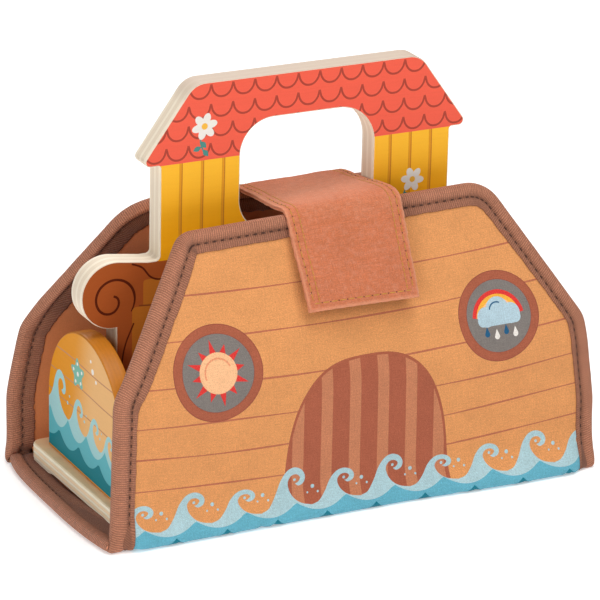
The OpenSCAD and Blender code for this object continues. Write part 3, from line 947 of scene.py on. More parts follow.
def shell(name, pts, tris, which, colours, place, thick, mat, body, ground, ride=True):
    """A thin closed layer: the same triangles outside and inside, joined round the rim. place(x, s, n) puts a point in space."""
    x, s = pts[:, 0], pts[:, 1]
    out, ins = place(x, s, 0.0), place(x, s, -thick)
    n = len(pts)
    faces = [tuple(t) for t in tris] + [tuple(n + t[::-1]) for t in tris]
    for loop in rim(tris):
        for a, b in zip(loop, loop[1:] + loop[:1]):
            faces.append((b, a, n + a, n + b))
    v = np.concatenate([out, ins])
    paint = None
    if colours is not None:
        table = np.array([lin(c) for c in colours] + [lin(ground)])
        paint = np.concatenate([table[which], np.tile(lin(ground), (len(faces) - len(tris), 1))])
    flat = np.concatenate([np.stack([x, s, np.zeros(n)], 1)] * 2)
    return piece(name, v, faces, mat, body, paint=paint, flat=flat, ride=ride)


def panel_parts(side, label, art):
    body = label + "_panel"
    made = {}

    # printed canvas outside, going round the fold and a little way under the base
    loop = panel_loop(side, 1.6, -9.0)
    pts, tris, which = tessellate([loop], art, 3.4)
    flip = side > 0

    def cover_at(x, s, n):
        p = 0.6 * smooth((from_edge(side, x, s) - 12) / 45) * smooth((s - 14) / 40) - 0.12
        return on_panel(side, x, s, p + n)

    use = tris[:, ::-1] if flip else tris
    ob = shell(label + "_canvas", pts, use, which, [c for _, c in art], cover_at, 0.55, CANVAS, body, ORANGE, ride=False)
    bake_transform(ob)
    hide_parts(label + "_cover")
    made["canvas"] = ob

    # stiffening board between the two cloths
    loop = panel_loop(side, 2.4, 7.0)
    pts, tris, which = tessellate([loop], [], 5.0)
    use = tris[:, ::-1] if flip else tris
    ob = shell(label + "_board", pts, use, which, None, lambda x, s, n: on_panel(side, x, s, n * (core(s) - 2.0) / 2.6 - 1.15), 2.6, BOARD, body, None)
    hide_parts(label + "_stiffener")

    # lining, which runs over the fold on to the base
    loop = panel_loop(side, 1.6, 2.8)
    pts, tris, which = tessellate([loop], [], 5.0)
    use = tris if flip else tris[:, ::-1]

    def lining_at(x, s, n):
        """Inside face. Its foot turns towards the middle and lies on the base."""
        turn = smooth((9.0 - s) / 5.0)
        x = x * (1 - 0.085 * smooth((24.0 - s) / 12.0))
        puff = 1.3 * smooth((from_edge(side, x, s) - 15) / 22) * smooth((s - 16) / 30) * (0.5 + 0.5 * swell(x, s, 46, 11 + side))
        p = on_panel(side, x, np.maximum(s, 7.0), -core(np.maximum(s, 7.0)) - puff - n - 0.42)
        drop = np.clip(9.0 - s, 0, 7)
        y_in = side * (63.2 - 0.62 * drop ** 1.15)
        z_in = 9.0 - drop * 0.9 + 0.10 * drop ** 1.4
        low = np.stack([x, y_in + side * n, np.maximum(z_in, 4.35) + n * 0.4], -1)
        t = turn[..., None]
        return p * (1 - t) + low * t

    ob = shell(label + "_lining_cloth", pts, use, which, None, lining_at, 0.5, LINING_CLOTH, body, None, ride=False)
    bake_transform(ob)
    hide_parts(label + "_lining")

    # woven tape folded over the edge
    line = resample(outline(side), 1.5)
    inw = -normals_2d(line)
    run = np.concatenate([[0], np.cumsum(np.linalg.norm(np.diff(line, axis=0), axis=1))])
    # outer leg, with the seam's groove between the flat band and the roll; the inner leg is wider
    leg = [(13.0, 0.02), (13.05, 0.40), (12.6, 0.58), (11.6, 0.64), (10.3, 0.56), (9.4, 0.40), (8.75, 0.14), (8.2, 0.02), (7.65, 0.16), (7.1, 0.62), (6.3, 1.10), (5.2, 1.40), (3.9, 1.50)]
    in_leg = [(15.4, 0.50), (15.45, 0.98), (14.7, 1.18), (13.2, 1.26), (11.4, 1.20), (9.8, 1.08), (8.8, 0.84), (8.2, 0.70), (7.6, 0.88), (7.0, 1.28), (6.2, 1.68), (5.1, 1.95), (3.9, 2.05)]
    turn = np.gradient(np.unwrap(np.arctan2(inw[:, 1], inw[:, 0])), run)
    room = 0.92 / np.maximum(np.convolve(np.abs(turn), np.ones(9) / 9, "same"), 1e-3)
    ang = np.radians(np.linspace(74, -74, 11))
    rows = []
    v_of = []

    def seam_at(x, s):
        """How far inside the edge the tape is sewn: on the back panel less along its slopes and its top, on the front more at the left."""
        return 8.2 - 3.8 * smooth((s - 82.0) / 22.0) if side > 0 else 8.2 + 1.4 * smooth((-86.0 - x) / 25.0)

    def to_seam(w, x, s):
        g = seam_at(x, s)
        return np.where(w <= 8.2, w * g / 8.2, g + (w - 8.2) * ((15.4 - g) / 7.2 if side > 0 else 1.0))

    for k, (p, q, r) in enumerate(zip(line, inw, run)):
        t = float(core(p[1]))
        e = 0.20 * swell(r, 0.0, 9.0, 21 + side) + 0.14 * swell(r, 0.0, 3.2, 31 + side)
        fray = 0.42 * swell(r, 3.0, 7.0, 23 + side) + 0.30 * swell(r, 3.0, 2.4, 33 + side)
        puff = 1.0 + 0.10 * swell(r, 5.0, 14.0, 41 + side)
        foot = 0.72 + 0.28 * float(smooth((p[1] - 0.5) / 9.0))
        under = 0.75 + 0.25 * float(smooth((p[1] - 4.0) / 10.0))
        band = 1.0 - 0.38 * max(float(smooth((p[0] - 90.0) / 40.0)), float(smooth((100.0 - p[1]) / 30.0))) * (side < 0)
        sec = [(min(8.2 + (w - 8.2) * (band if w > 8.2 else 1.0) + (e if w > 10 else 0.0), room[k]), n * foot * (puff if w < 7.5 else 1.0)) for w, n in leg]
        top, low = 1.47 * foot * puff, -t - 2.05 * under * puff
        cap = [(2.6 - 2.6 * math.cos(a), (top + low) / 2 + (top - low) / 2 * math.sin(a)) for a in ang]
        ins = [(min(w + (fray if w > 14 else 0.0), room[k]), -t - n * under * (puff if w < 7.5 else 1.0)) for w, n in in_leg[::-1]]
        # painted light and shade for the tape: a painted highlight on the roll's crest, and painted shade in the seam's
        # groove and on the flat band
        shade = lambda w: -1.9 if 7.5 < w < 8.9 else (-0.8 if w > 7.0 else 1.0 - abs(w - 4.2) / 2.6)
        # painted shade on the back panel's inner leg, growing up its slopes and top, where the roll faces away from the
        # light
        deep = 0.3 + 1.3 * float(smooth((p[1] - 82.0) / 22.0))
        # painted shade on the front panel's tape near the strap and towards its right end
        painted_tape_shade = (0.5 * float(smooth((p[0] - 70.0) / 50.0)) + 0.6 * float(smooth((64.0 - abs(p[0])) / 30.0))) * (side < 0)
        light_shade = [shade(w) - painted_tape_shade for w, _ in leg] + [0.2] * len(cap) + [shade(w) - (deep if w > 7.0 else 0.3 + (deep - 0.3) * max(0.0, w - 3.0) / 4.0) for w, _ in in_leg[::-1]] + [-1.0, -1.0]
        w = np.array(sec + cap + ins + [(1.5, -t + 0.02), (1.5, -0.02)])
        w[:, 0] = to_seam(w[:, 0], p[0], p[1])
        pt = p[None] + q[None] * w[:, :1]
        pl = on_panel(side, pt[:, 0], pt[:, 1], w[:, 1])
        pl[:, 2] = np.maximum(pl[:, 2], 0.04)
        rows.append(pl)
        step = np.concatenate([[0], np.cumsum(np.linalg.norm(np.diff(w, axis=0), axis=1))])
        lean = float(np.interp(p[0], (-150, -90, 90, 150), (-0.14, -0.06, 0.10, 0.34)))
        v_of.append(np.stack([r + lean * step, step, np.array(light_shade)], 1))
    ring = len(rows[0])
    v = np.concatenate(rows)
    faces = tube_faces(len(rows), ring)
    faces += [tuple(range(ring))[::-1], tuple(range((len(rows) - 1) * ring, len(rows) * ring))]
    if side < 0:
        faces = [f[::-1] for f in faces]
    ob = piece(label + "_tape", v, faces, TAPE, body, flat=np.concatenate(v_of), ride=False)
    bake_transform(ob)
    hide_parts(label + "_binding")

    # the tape's seam, sewn right through
    spots = np.arange(3.0, run[-1] - 3.0, 4.9)
    x = np.interp(spots, run, line[:, 0])
    s = np.interp(spots, run, line[:, 1])
    q = np.stack([np.interp(spots, run, inw[:, 0]), np.interp(spots, run, inw[:, 1])], 1)
    q /= np.linalg.norm(q, axis=1)[:, None]
    g = seam_at(x, s)
    x, s = x + q[:, 0] * g, s + q[:, 1] * g
    for face in ("outer", "inner"):
        depth = np.full(len(s), 0.10) if face == "outer" else -core(s) - 0.80
        a = on_panel(side, x, s, depth)
        b = on_panel(side, x + q[:, 1] * 0.5, s - q[:, 0] * 0.5, depth)
        c = on_panel(side, x, s, depth + (0.5 if face == "outer" else -0.5))
        ob = threads(label + "_seam_" + face, a, b - a, c - a, THREAD, body, length=2.4, thick=0.40, rise=0.24, ride=False)
        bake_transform(ob)
    return made


panel_parts(-1, "front", front_print())
panel_parts(1, "back", back_print())


# ------------------------------------------------------------------ base of the case
def base_parts():
    # canvas under the base
    x = np.linspace(-148.8, 148.8, 90)
    y = np.linspace(-60.5, 60.5, 36)
    X, Y = np.meshgrid(x, y)
    lift = 0.7 * smooth((np.abs(X) - 128) / 10)
    Zb = 0.32 + lift + 0.12 * (0.5 + 0.5 * swell(X, Y, 50, 51))
    v = np.stack([X, Y, Zb], -1).reshape(-1, 3)
    n = len(v)
    top = v + np.array([0, 0, 0.42])
    w, h = len(x), len(y)
    faces = []
    for j in range(h - 1):
        for i in range(w - 1):
            a = j * w + i
            faces.append((a, a + w, a + w + 1, a + 1))
            faces.append((n + a, n + a + 1, n + a + w + 1, n + a + w))
    edge = [i for i in range(w)] + [j * w + w - 1 for j in range(1, h)] + [(h - 1) * w + i for i in range(w - 2, -1, -1)] + [j * w for j in range(h - 2, 0, -1)]
    for a, b in zip(edge, edge[1:] + edge[:1]):
        faces.append((a, b, n + b, n + a))
    flat = np.concatenate([np.stack([v[:, 0], v[:, 1], np.zeros(n)], 1)] * 2)
    ob = piece("base_canvas", np.concatenate([v, top]), faces, UNDER_CLOTH, "root", flat=flat)
    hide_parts("base_cover")

    # lining on the base
    Zl = 3.75 + 0.35 * (0.5 + 0.5 * swell(X, Y, 45, 52)) + 0.25 * smooth((np.abs(X) - 133) / 8)
    v = np.stack([X, Y * 64.6 / 60.5, Zl], -1).reshape(-1, 3)
    under = v - np.array([0, 0, 0.42])
    faces = []
    for j in range(h - 1):
        for i in range(w - 1):
            a = j * w + i
            faces.append((a, a + 1, a + w + 1, a + w))
            faces.append((n + a, n + a + w, n + a + w + 1, n + a + 1))
    for a, b in zip(edge, edge[1:] + edge[:1]):
        faces.append((b, a, n + a, n + b))
    ob = piece("base_lining_cloth", np.concatenate([v, under]), faces, LINING_CLOTH, "root", flat=flat)
    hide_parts("base_lining")

    # tape round the two ends
    def bulge(s, q):
        """How far out the end's tape lies, fullest near the back on the left."""
        return 151.0 + (4.6 if s < 0 else 2.5) * (1 - (np.abs(q) / 66.0) ** np.where(q > 0, 4.5, 2.8))

    def end_seam(q):
        """How far inside its edge the end's tape is sewn: further at the front."""
        return 8.0 + 1.2 * smooth((-20.0 - q) / 45.0)

    for s, label in ((-1, "left"), (1, "right")):
        y = np.linspace(-67.6, 65.4, 91)
        rows, flat = [], []
        leg = [(15.6, 0.02), (15.6, 0.40), (14.8, 0.60), (12.4, 0.72), (9.8, 0.70), (7.6, 0.42), (6.6, 0.10), (6.2, -0.04), (5.8, 0.12), (5.3, 0.72), (4.6, 1.30), (3.8, 1.66), (3.0, 1.80)]
        ang = np.radians(np.linspace(74, -74, 13))
        # painted shade in the tape's seam groove and over its inner leg, a little on the rest, and a faint painted
        # highlight on the roll's cap
        light_shade = [-3.8 if 5.6 < wd < 7.0 else (-2.7 if wd > 5.5 else -0.6) for wd, _ in leg] + [0.2] * len(ang) + [-0.6] * len(leg) + [-1.0, -1.0]
        for q in y:
            end = float(smooth(((67.6 if q < 0 else 65.4) - abs(q)) / 4.0))
            t = 2.4 + 1.1 * end
            puff = (0.8 + 0.2 * end) * (1.0 + 0.10 * float(swell(q, 0.0, 15.0, 61 + s)))
            e = 0.25 * float(swell(q, 0.0, 7.0, 63 + s))
            mid = 0.95 + 1.75 + 0.35 * (1 - end)
            top, low = t / 2 + 2.2 * puff, -t / 2 - 0.85
            cap = [(2.5 - 2.5 * math.cos(a), (top + low) / 2 + (top - low) / 2 * math.sin(a)) for a in ang]
            climb = 4.4 * float(smooth((22.0 - q) / 85.0)) * (s < 0)
            seam = end_seam(q)
            wide = lambda wd: wd * seam / 6.2 if wd < 6.21 else seam + (wd - 6.2) * (15.6 - seam) / 9.4
            up = [(wide(wd) + (e if wd > 12 else 0), t / 2 + n * puff * (1.22 if wd < 5.9 else 1.0) + climb * float(smooth((wide(wd) - seam - 1.0) / 6.5))) for wd, n in leg]
            down = [(wide(wd), -t / 2 - min(max(n, 0.02) * puff, 0.85)) for wd, n in leg[::-1]]
            sec = np.array(up + cap + down + [(1.6, -t / 2 + 0.05), (1.6, t / 2 - 0.05)])
            z = np.maximum(mid + sec[:, 1], 0.03)
            out = bulge(s, q)
            rows.append(np.stack([s * (out - sec[:, 0]), np.full(len(sec), q), z], 1))
            step = np.concatenate([[0], np.cumsum(np.linalg.norm(np.diff(sec, axis=0), axis=1))])
            flat.append(np.stack([q - 0.30 * step, step, np.array(light_shade)], 1))
        ring = len(rows[0])
        faces = tube_faces(len(rows), ring) + [tuple(range(ring))[::-1], tuple(range((len(rows) - 1) * ring, len(rows) * ring))]
        if s > 0:
            faces = [f[::-1] for f in faces]
        ob = piece(label + "_end_tape", np.concatenate(rows), faces, END_TAPE, "root", flat=np.concatenate(flat))
        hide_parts(label + "_base_binding")
        spots = np.arange(-56, 56.1, 4.9)
        out = bulge(s, spots)
        at = np.stack([s * (out - end_seam(spots)), spots, np.full(len(spots), 0.95 + 1.75 + 1.75 + 0.02)], 1)
        threads(label + "_end_seam", at, np.tile((0, 1.0, 0), (len(at), 1)), np.tile((0, 0, 1.0), (len(at), 1)), THREAD, "root", length=2.7, thick=0.36, rise=0.2)


base_parts()


# ------------------------------------------------------------------ plywood pieces
def slab(name, loops, art, back_art, thick, soft, place, mats, body, ground, spacing=6.0, edge_flat=None, edge_rows=5):
    """A plywood piece with eased edges. art is the front's print, and back_art the back's colours for the same outlines. place(u, v, w) puts a point in space, with w through the thickness, front at -thick / 2. mats are the front's, the edge's and the back's."""
    small = [grow(loops[0], -soft)] + [grow(q, soft) for q in loops[1:]]
    pts, tris, which = tessellate(small, art, spacing)
    h = thick / 2
    n = len(pts)
    v = [place(pts[:, 0], pts[:, 1], np.full(n, -h)), place(pts[:, 0], pts[:, 1], np.full(n, h))]
    flat = [np.stack([pts[:, 0], pts[:, 1], np.full(n, -h)], 1), np.stack([pts[:, 0], pts[:, 1], np.full(n, h)], 1)]
    faces = [tuple(t) for t in tris] + [tuple(n + t[::-1]) for t in tris]
    mat = [0] * len(tris) + [2 % len(mats)] * len(tris)
    table = np.array([lin(c) for _, c in art] + [lin(ground[0])])
    back = np.array([lin(c) for c in back_art] + [lin(ground[1])])
    paint = [table[which], back[which]]
    shade = [False] * (2 * len(tris))
    total = 2 * n
    steps = [(soft * (1 - math.sin(a)), -h + soft * (1 - math.cos(a))) for a in np.radians((22.5, 45, 67.5, 90))]
    ws = np.linspace(-h + soft, h - soft, edge_rows)[1:-1]
    prof = steps + [(0.0, w) for w in ws] + [(d, -w) for d, w in steps[::-1]]
    for loop in rim(tris):
        ring = pts[loop]
        best, place_on = np.full(len(ring), 1e9), np.zeros((len(ring), 2))
        for sm, big in zip(small, loops):
            a, b = sm, np.roll(sm, -1, 0)
            A, B = np.asarray(big, float), np.roll(np.asarray(big, float), -1, 0)
            e = b - a
            t = np.clip(np.einsum("ijk,jk->ij", ring[:, None] - a[None], e) / np.sum(e * e, 1)[None], 0, 1)
            d = np.linalg.norm(ring[:, None] - (a[None] + t[..., None] * e[None]), axis=2)
            j = d.argmin(1)
            i = np.arange(len(ring))
            near = d[i, j] < best
            best[near] = d[i, j][near]
            place_on[near] = (A[j] + t[i, j][:, None] * (B[j] - A[j]))[near]
        length = np.concatenate([[0], np.cumsum(np.linalg.norm(np.diff(place_on, axis=0), axis=1))])
        m = len(loop)
        prev = list(loop)
        for d, w in prof:
            q = place_on + (ring - place_on) * (d / soft)
            v.append(place(q[:, 0], q[:, 1], np.full(m, w)))
            flat.append(np.stack([length, np.full(m, w), q[:, 1]], 1))
            cur = list(range(total, total + m))
            total += m
            for i in range(m):
                k = (i + 1) % m
                faces.append((prev[k], prev[i], cur[i], cur[k]))
            prev = cur
        cur = [n + i for i in loop]
        for i in range(m):
            k = (i + 1) % m
            faces.append((prev[k], prev[i], cur[i], cur[k]))
        count = m * (len(prof) + 1)
        mat += [1] * count
        shade += [True] * count
        paint.append(np.tile(lin(ground[0]), (count, 1)))
    ob = piece(name, np.concatenate(v), faces, mats, body, face_mat=mat, paint=np.concatenate(paint), flat=np.concatenate(flat), shade=shade)
    return ob


ARK_X = -5.0


def board_outline():
    """Hull's end, the scroll, its shoulder, then the house."""
    foot = np.array([(113.2, 16.2)])
    scroll = arc(115.0, 121.6, 19.1, -94.0, 97.7, 50)
    house = rounded([(112.44, 140.53), (95.0, 138.0), (88.2, 138.0), (88.2, 191.4), (99.9, 191.4), (68.4, 235.0), (0, 235)], [0, 12, 2.6, 1.5, 3, 13, 0], closed=False, step=0.8)
    right = np.concatenate([foot, scroll, house[1:-1]])
    return np.concatenate([right, np.stack([-right[::-1, 0], right[::-1, 1]], 1)])


def house_print():
    s = []
    # walls of the house
    s.append((np.array([(-88.6, 136), (88.6, 136), (88.6, 193), (-88.6, 193)]), YELLOW))
    for x in (-75.9, -63.2, -50.6, 51.2, 63.7, 76.5):
        y = np.linspace(137, 192.6, 30)
        line = np.stack([x + 0.15 * np.sin(y / 9 + x), y], 1)
        s.append((stroke(line, 1.9), YELLOW_STRIP))
        s.append((stroke(line + np.array([0.75, 0]), 0.6), YELLOW_LINE))
    s.append((np.array([(-41, 136), (41, 136), (41, 147), (-41, 147)]), YELLOW))
    # hull
    hull = [(-113.2, 16), (113.2, 16), (113.2, 100), (134.5, 104), (134.5, 141), (95, 142), (88.5, 137.4), (-88.5, 137.4), (-95, 142), (-134.5, 141), (-134.5, 104), (-113.2, 100)]
    s.append((np.array(hull), HULL))
    deck = rounded([(-104, 20), (-104, 113), (-97.5, 113), (-97.5, 128), (97.5, 128), (97.5, 113), (104, 113), (104, 20)], [0, 2, 1, 1.5, 1.5, 1, 2, 0])
    s.append((deck, HULL_LIGHT))
    for k, z in enumerate((36, 54, 72, 90, 109)):
        half = 100
        x = np.linspace(-half, half, 40)
        s.append((stroke(np.stack([x, z + 4 * (x / 94) ** 2], 1), 0.9), (140, 74, 34)))
    for x in (-72, 0, 72):
        s += [(disc(x, 84, 20.5, 52), HULL_LINE), (disc(x, 84, 19.3, 52), HULL), (disc(x, 84, 14.6, 52), HULL_LINE), (disc(x, 84, 13.7, 52), (120, 96, 70))]
    for side in (-1, 1):
        a = np.linspace(math.radians(-34), math.radians(420), 90)
        r = np.interp(a, np.radians([-34, 30, 76, 173, 257, 336, 420]), [14.2, 13.4, 11.8, 8.9, 8.1, 4.7, 2.3])
        r = np.convolve(np.pad(r, 6, mode="edge"), np.ones(13) / 13, "valid")
        line = np.stack([side * (116.3 - r * np.cos(a)), 118.9 + r * np.sin(a)], 1)
        s.append((stroke(line, np.interp(a, [a[0], a[0] + 0.8, a[-1]], [0.7, 1.5, 1.3])), HULL_LINE))
        line = spline([(side * 104.4, 138.2), (side * 98.2, 135.2), (side * 93.4, 129.4), (side * 88.0, 127.2), (side * 80, 128)], 8)
        s.append((stroke(line, 1.05), HULL_LINE))
        line = spline([(side * 112.5, 22), (side * 112.0, 60), (side * 109.0, 88), (side * 103.0, 104)], 8)
        s.append((stroke(line, 0.9), HULL_LINE))
    # roof
    s.append((np.array([(-101, 191.4), (101, 191.4), (69, 236.5), (-69, 236.5)]), ROOF))
    t = np.linspace(0, 1, 15)
    for z in (233.6, 222.6, 211.6, 200.6):
        for k in range(-9, 9):
            x0 = 6.9 + 13.05 * k
            x = x0 + 13.05 * t
            y = z - 7.3 * (1 - np.abs(2 * t - 1) ** 2.3) ** 0.62
            s.append((stroke(np.stack([x, y], 1), 1.15), ROOF_LINE))
    s += blossom(-62.0, 210.5, 7.6, 12)
    s += blossom(66.0, 163.5, 7.2, -8)
    return s


def centre_board():
    loop = board_outline() + np.array([ARK_X + 0.3, 0])
    grip = rounded([(41.0, 146), (41.0, 210.8), (-40.5, 210.8), (-40.5, 146)], [20, 22, 20, 20], step=0.9) + np.array([ARK_X, 0])
    art = [(np.asarray(q, float) + np.array([ARK_X, 0]), c) for q, c in house_print()]
    rear = [c for _, c in art]
    ob = slab("ark_board", [loop, grip], art, rear, 14.0, 0.55, lambda u, v, w: np.stack([u, w, v], -1), [PRINT, PLY_EDGE], "root", (YELLOW, YELLOW), 5.0, edge_rows=6)
    ob.data.materials.append(PRINT)
    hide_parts("centre_board")
    # the walls' yellow turns more orange downwards
    me = ob.data
    col = np.zeros(len(me.loops) * 4, np.float32)
    me.color_attributes["paint"].data.foreach_get("color", col)
    col = col.reshape(-1, 4)
    z = corner_places(me)[:, 2]
    wall = np.abs(col - np.array(lin(YELLOW), np.float32)).max(1) < 1e-4
    k = smooth((192.0 - z) / 44.0)[:, None]
    col[wall] = (np.array(lin(YELLOW)) * (1 - k) + np.array(lin(YELLOW_LOW)) * k)[wall]
    me.color_attributes["paint"].data.foreach_set("color", col.ravel())


centre_board()


def end_walls():
    loop = np.concatenate([[(-50, 16.2), (50, 16.2)], arc(0, 48.2, 50, 0, 180, 90)])
    # flat form runs along Y, with the height as it is
    art = []
    for k, z in enumerate((38, 52, 66, 80)):
        x = np.linspace(-52, 52, 40)
        art.append((stroke(np.stack([x, z + 0.4 * np.sin(x / 11 + k)], 1), 0.8), END_LINE))
    art += star(-9.0, 73.5, 11.5, 24)
    for x, y, r in ((11, 82, 1.7), (15.5, 77.5, 1.1), (8.5, 87.2, 1.0)):
        art.append((disc(x, y, r, 16), WHITE))
    art += end_waves()
    art.append((np.array([(-52, 12), (52, 12), (52, 17.9), (-52, 17.9)]), (220, 148, 58)))
    for s, label in ((-1, "left"), (1, "right")):
        x_mid = ARK_X + s * 122.5
        ob = slab(label + "_wall", [loop], art, [END_FACE] * len(art), 11.0, 0.8, lambda u, v, w, s=s, x_mid=x_mid: np.stack([x_mid - s * w - (2.1 if s < 0 else 0.0), s * u - (2.4 if s < 0 else 0.0), v], -1), [PRINT, OCHRE_EDGE, PRINT], "root", (END_FACE, END_FACE), 5.0)
        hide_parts(label + "_end_wall")
        # the ground runs from ochre at one side to tan at the other
        me = ob.data
        col = np.zeros(len(me.loops) * 4, np.float32)
        me.color_attributes["paint"].data.foreach_get("color", col)
        col = col.reshape(-1, 4)
        co = corner_places(me)
        ground = np.abs(col - np.array(lin(END_FACE), np.float32)).max(1) < 1e-4
        k = smooth((20.0 + s * co[:, 1] + 0.22 * (60.0 - co[:, 2])) / 34.0)[:, None]
        col[ground] = (np.array(lin(END_OCHRE)) * (1 - k) + np.array(lin(END_FACE)) * k)[ground]
        me.color_attributes["paint"].data.foreach_set("color", col.ravel())


end_walls()


def plates():
    loop = rounded([(-139.9, -57.5), (129.5, -57.5), (129.5, 57.5), (-142.2, 57.5)], [6] * 4, step=0.7)
    ob = slab("deck_plate", [loop], [], [], 9.5, 1.1, lambda u, v, w: np.stack([u, v, 11.45 - w], -1), [VENEER, PLATE_EDGE, VENEER], "root", (YELLOW, YELLOW), 14.0)
    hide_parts("base_plate")
    for s, label in ((-1, "front"), (1, "back")):
        y0, y1 = sorted((s * 32.0, s * 57.0))
        left = -138.8 if s < 0 else -141.0
        loop = rounded([(left, y0), (128.5, y0), (128.5, y1), (left, y1)], [3] * 4, step=0.6)
        ob = slab(label + "_skid", [loop], [], [], 2.5, 0.5, lambda u, v, w: np.stack([u, v, 5.45 - w], -1), [VENEER, PLY_EDGE, VENEER], "root", (YELLOW, YELLOW), 14.0, edge_rows=3)
        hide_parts(label + "_runner")


plates()


# ------------------------------------------------------------------ strap
# outer face of the strap along its left and right edges, from its sewn end behind to its free end
LEFT_EDGE = [(-29.5, 55.2, 117.4), (-29.4, 49.6, 128.6), (-29.3, 44.3, 139.6), (-29.2, 38.8, 150.6), (-29.2, 34.9, 157.4), (-29.2, 31.8, 160.0), (-29.2, 27.2, 160.4), (-29.2, 20, 160.9), (-29.2, 8, 162.0), (-29.2, -4, 162.7), (-29.2, -15, 163.4), (-29.2, -22.6, 164.7), (-29.2, -28.6, 164.7), (-29.1, -32.8, 161.3), (-29.0, -36.2, 155.8), (-28.8, -42.2, 146.3), (-28.5, -48.4, 137), (-28.2, -54.3, 127.4), (-27.9, -60.0, 117.3)]
RIGHT_EDGE = [(35.6, 55.2, 117.4), (35.6, 49.6, 128.6), (35.6, 44.3, 139.6), (35.6, 38.8, 150.6), (35.6, 34.9, 157.4), (35.6, 32.0, 160.8), (35.5, 27.4, 162.6), (35.3, 20, 164.0), (35.0, 8, 165.4), (34.9, -4, 167.0), (35.4, -15, 168.9), (36.3, -24, 170.0), (36.8, -31.2, 169.7), (37.1, -36.8, 167.2), (37.4, -40.2, 160.8), (37.7, -46.2, 147.0), (37.9, -51.0, 136.8), (38.0, -56.2, 126.6), (38.2, -61.0, 116.6)]
STRAP_T = 3.0


def strap_grid(q, w):
    """Points of the strap's outer face and their outward normals. q runs along it from 0 to 1 and w across it."""
    def both(line):
        return resample(spline(line, 12), 0.4)
    a, b = both(LEFT_EDGE), both(RIGHT_EDGE)

    def at(line, t):
        k = np.clip(t, 0, 1) * (len(line) - 1)
        return np.stack([np.interp(k, np.arange(len(line)), line[:, i]) for i in range(3)], -1)

    def point(t, s):
        p = at(a, t) * (1 - s[..., None]) + at(b, t) * s[..., None]
        long = (t - 0.5) * 172.0
        wide = (s - 0.5) * 65.0
        return p, long, wide

    Q, W = np.meshgrid(q, w, indexing="ij")
    p, long, wide = point(Q, W)
    e = 0.004
    du = point(np.minimum(Q + e, 1), W)[0] - point(np.maximum(Q - e, 0), W)[0]
    dv = point(Q, np.minimum(W + e, 1))[0] - point(Q, np.maximum(W - e, 0))[0]
    n = np.cross(du, dv)
    n /= np.linalg.norm(n, axis=-1)[..., None]
    crown = 0.9 * (1 - (2 * W - 1) ** 2) * smooth((Q - 0.30) / 0.15)
    uneven = 0.18 * swell(long, wide, 34, 71) + 0.10 * swell(long, wide, 11, 72)
    edge = np.minimum(W, 1 - W) * 65.0
    sewn = -0.34 * (np.exp(-((edge - 2.9) / 0.6) ** 2) + np.exp(-((edge - 6.4) / 0.6) ** 2))
    end = (1 - Q) * 172.0
    sewn = sewn - 0.34 * np.exp(-((end - 3.6) / 0.6) ** 2)
    p = p + n * (crown + uneven + sewn)[..., None]
    return p, n, dv / np.linalg.norm(dv, axis=-1)[..., None]


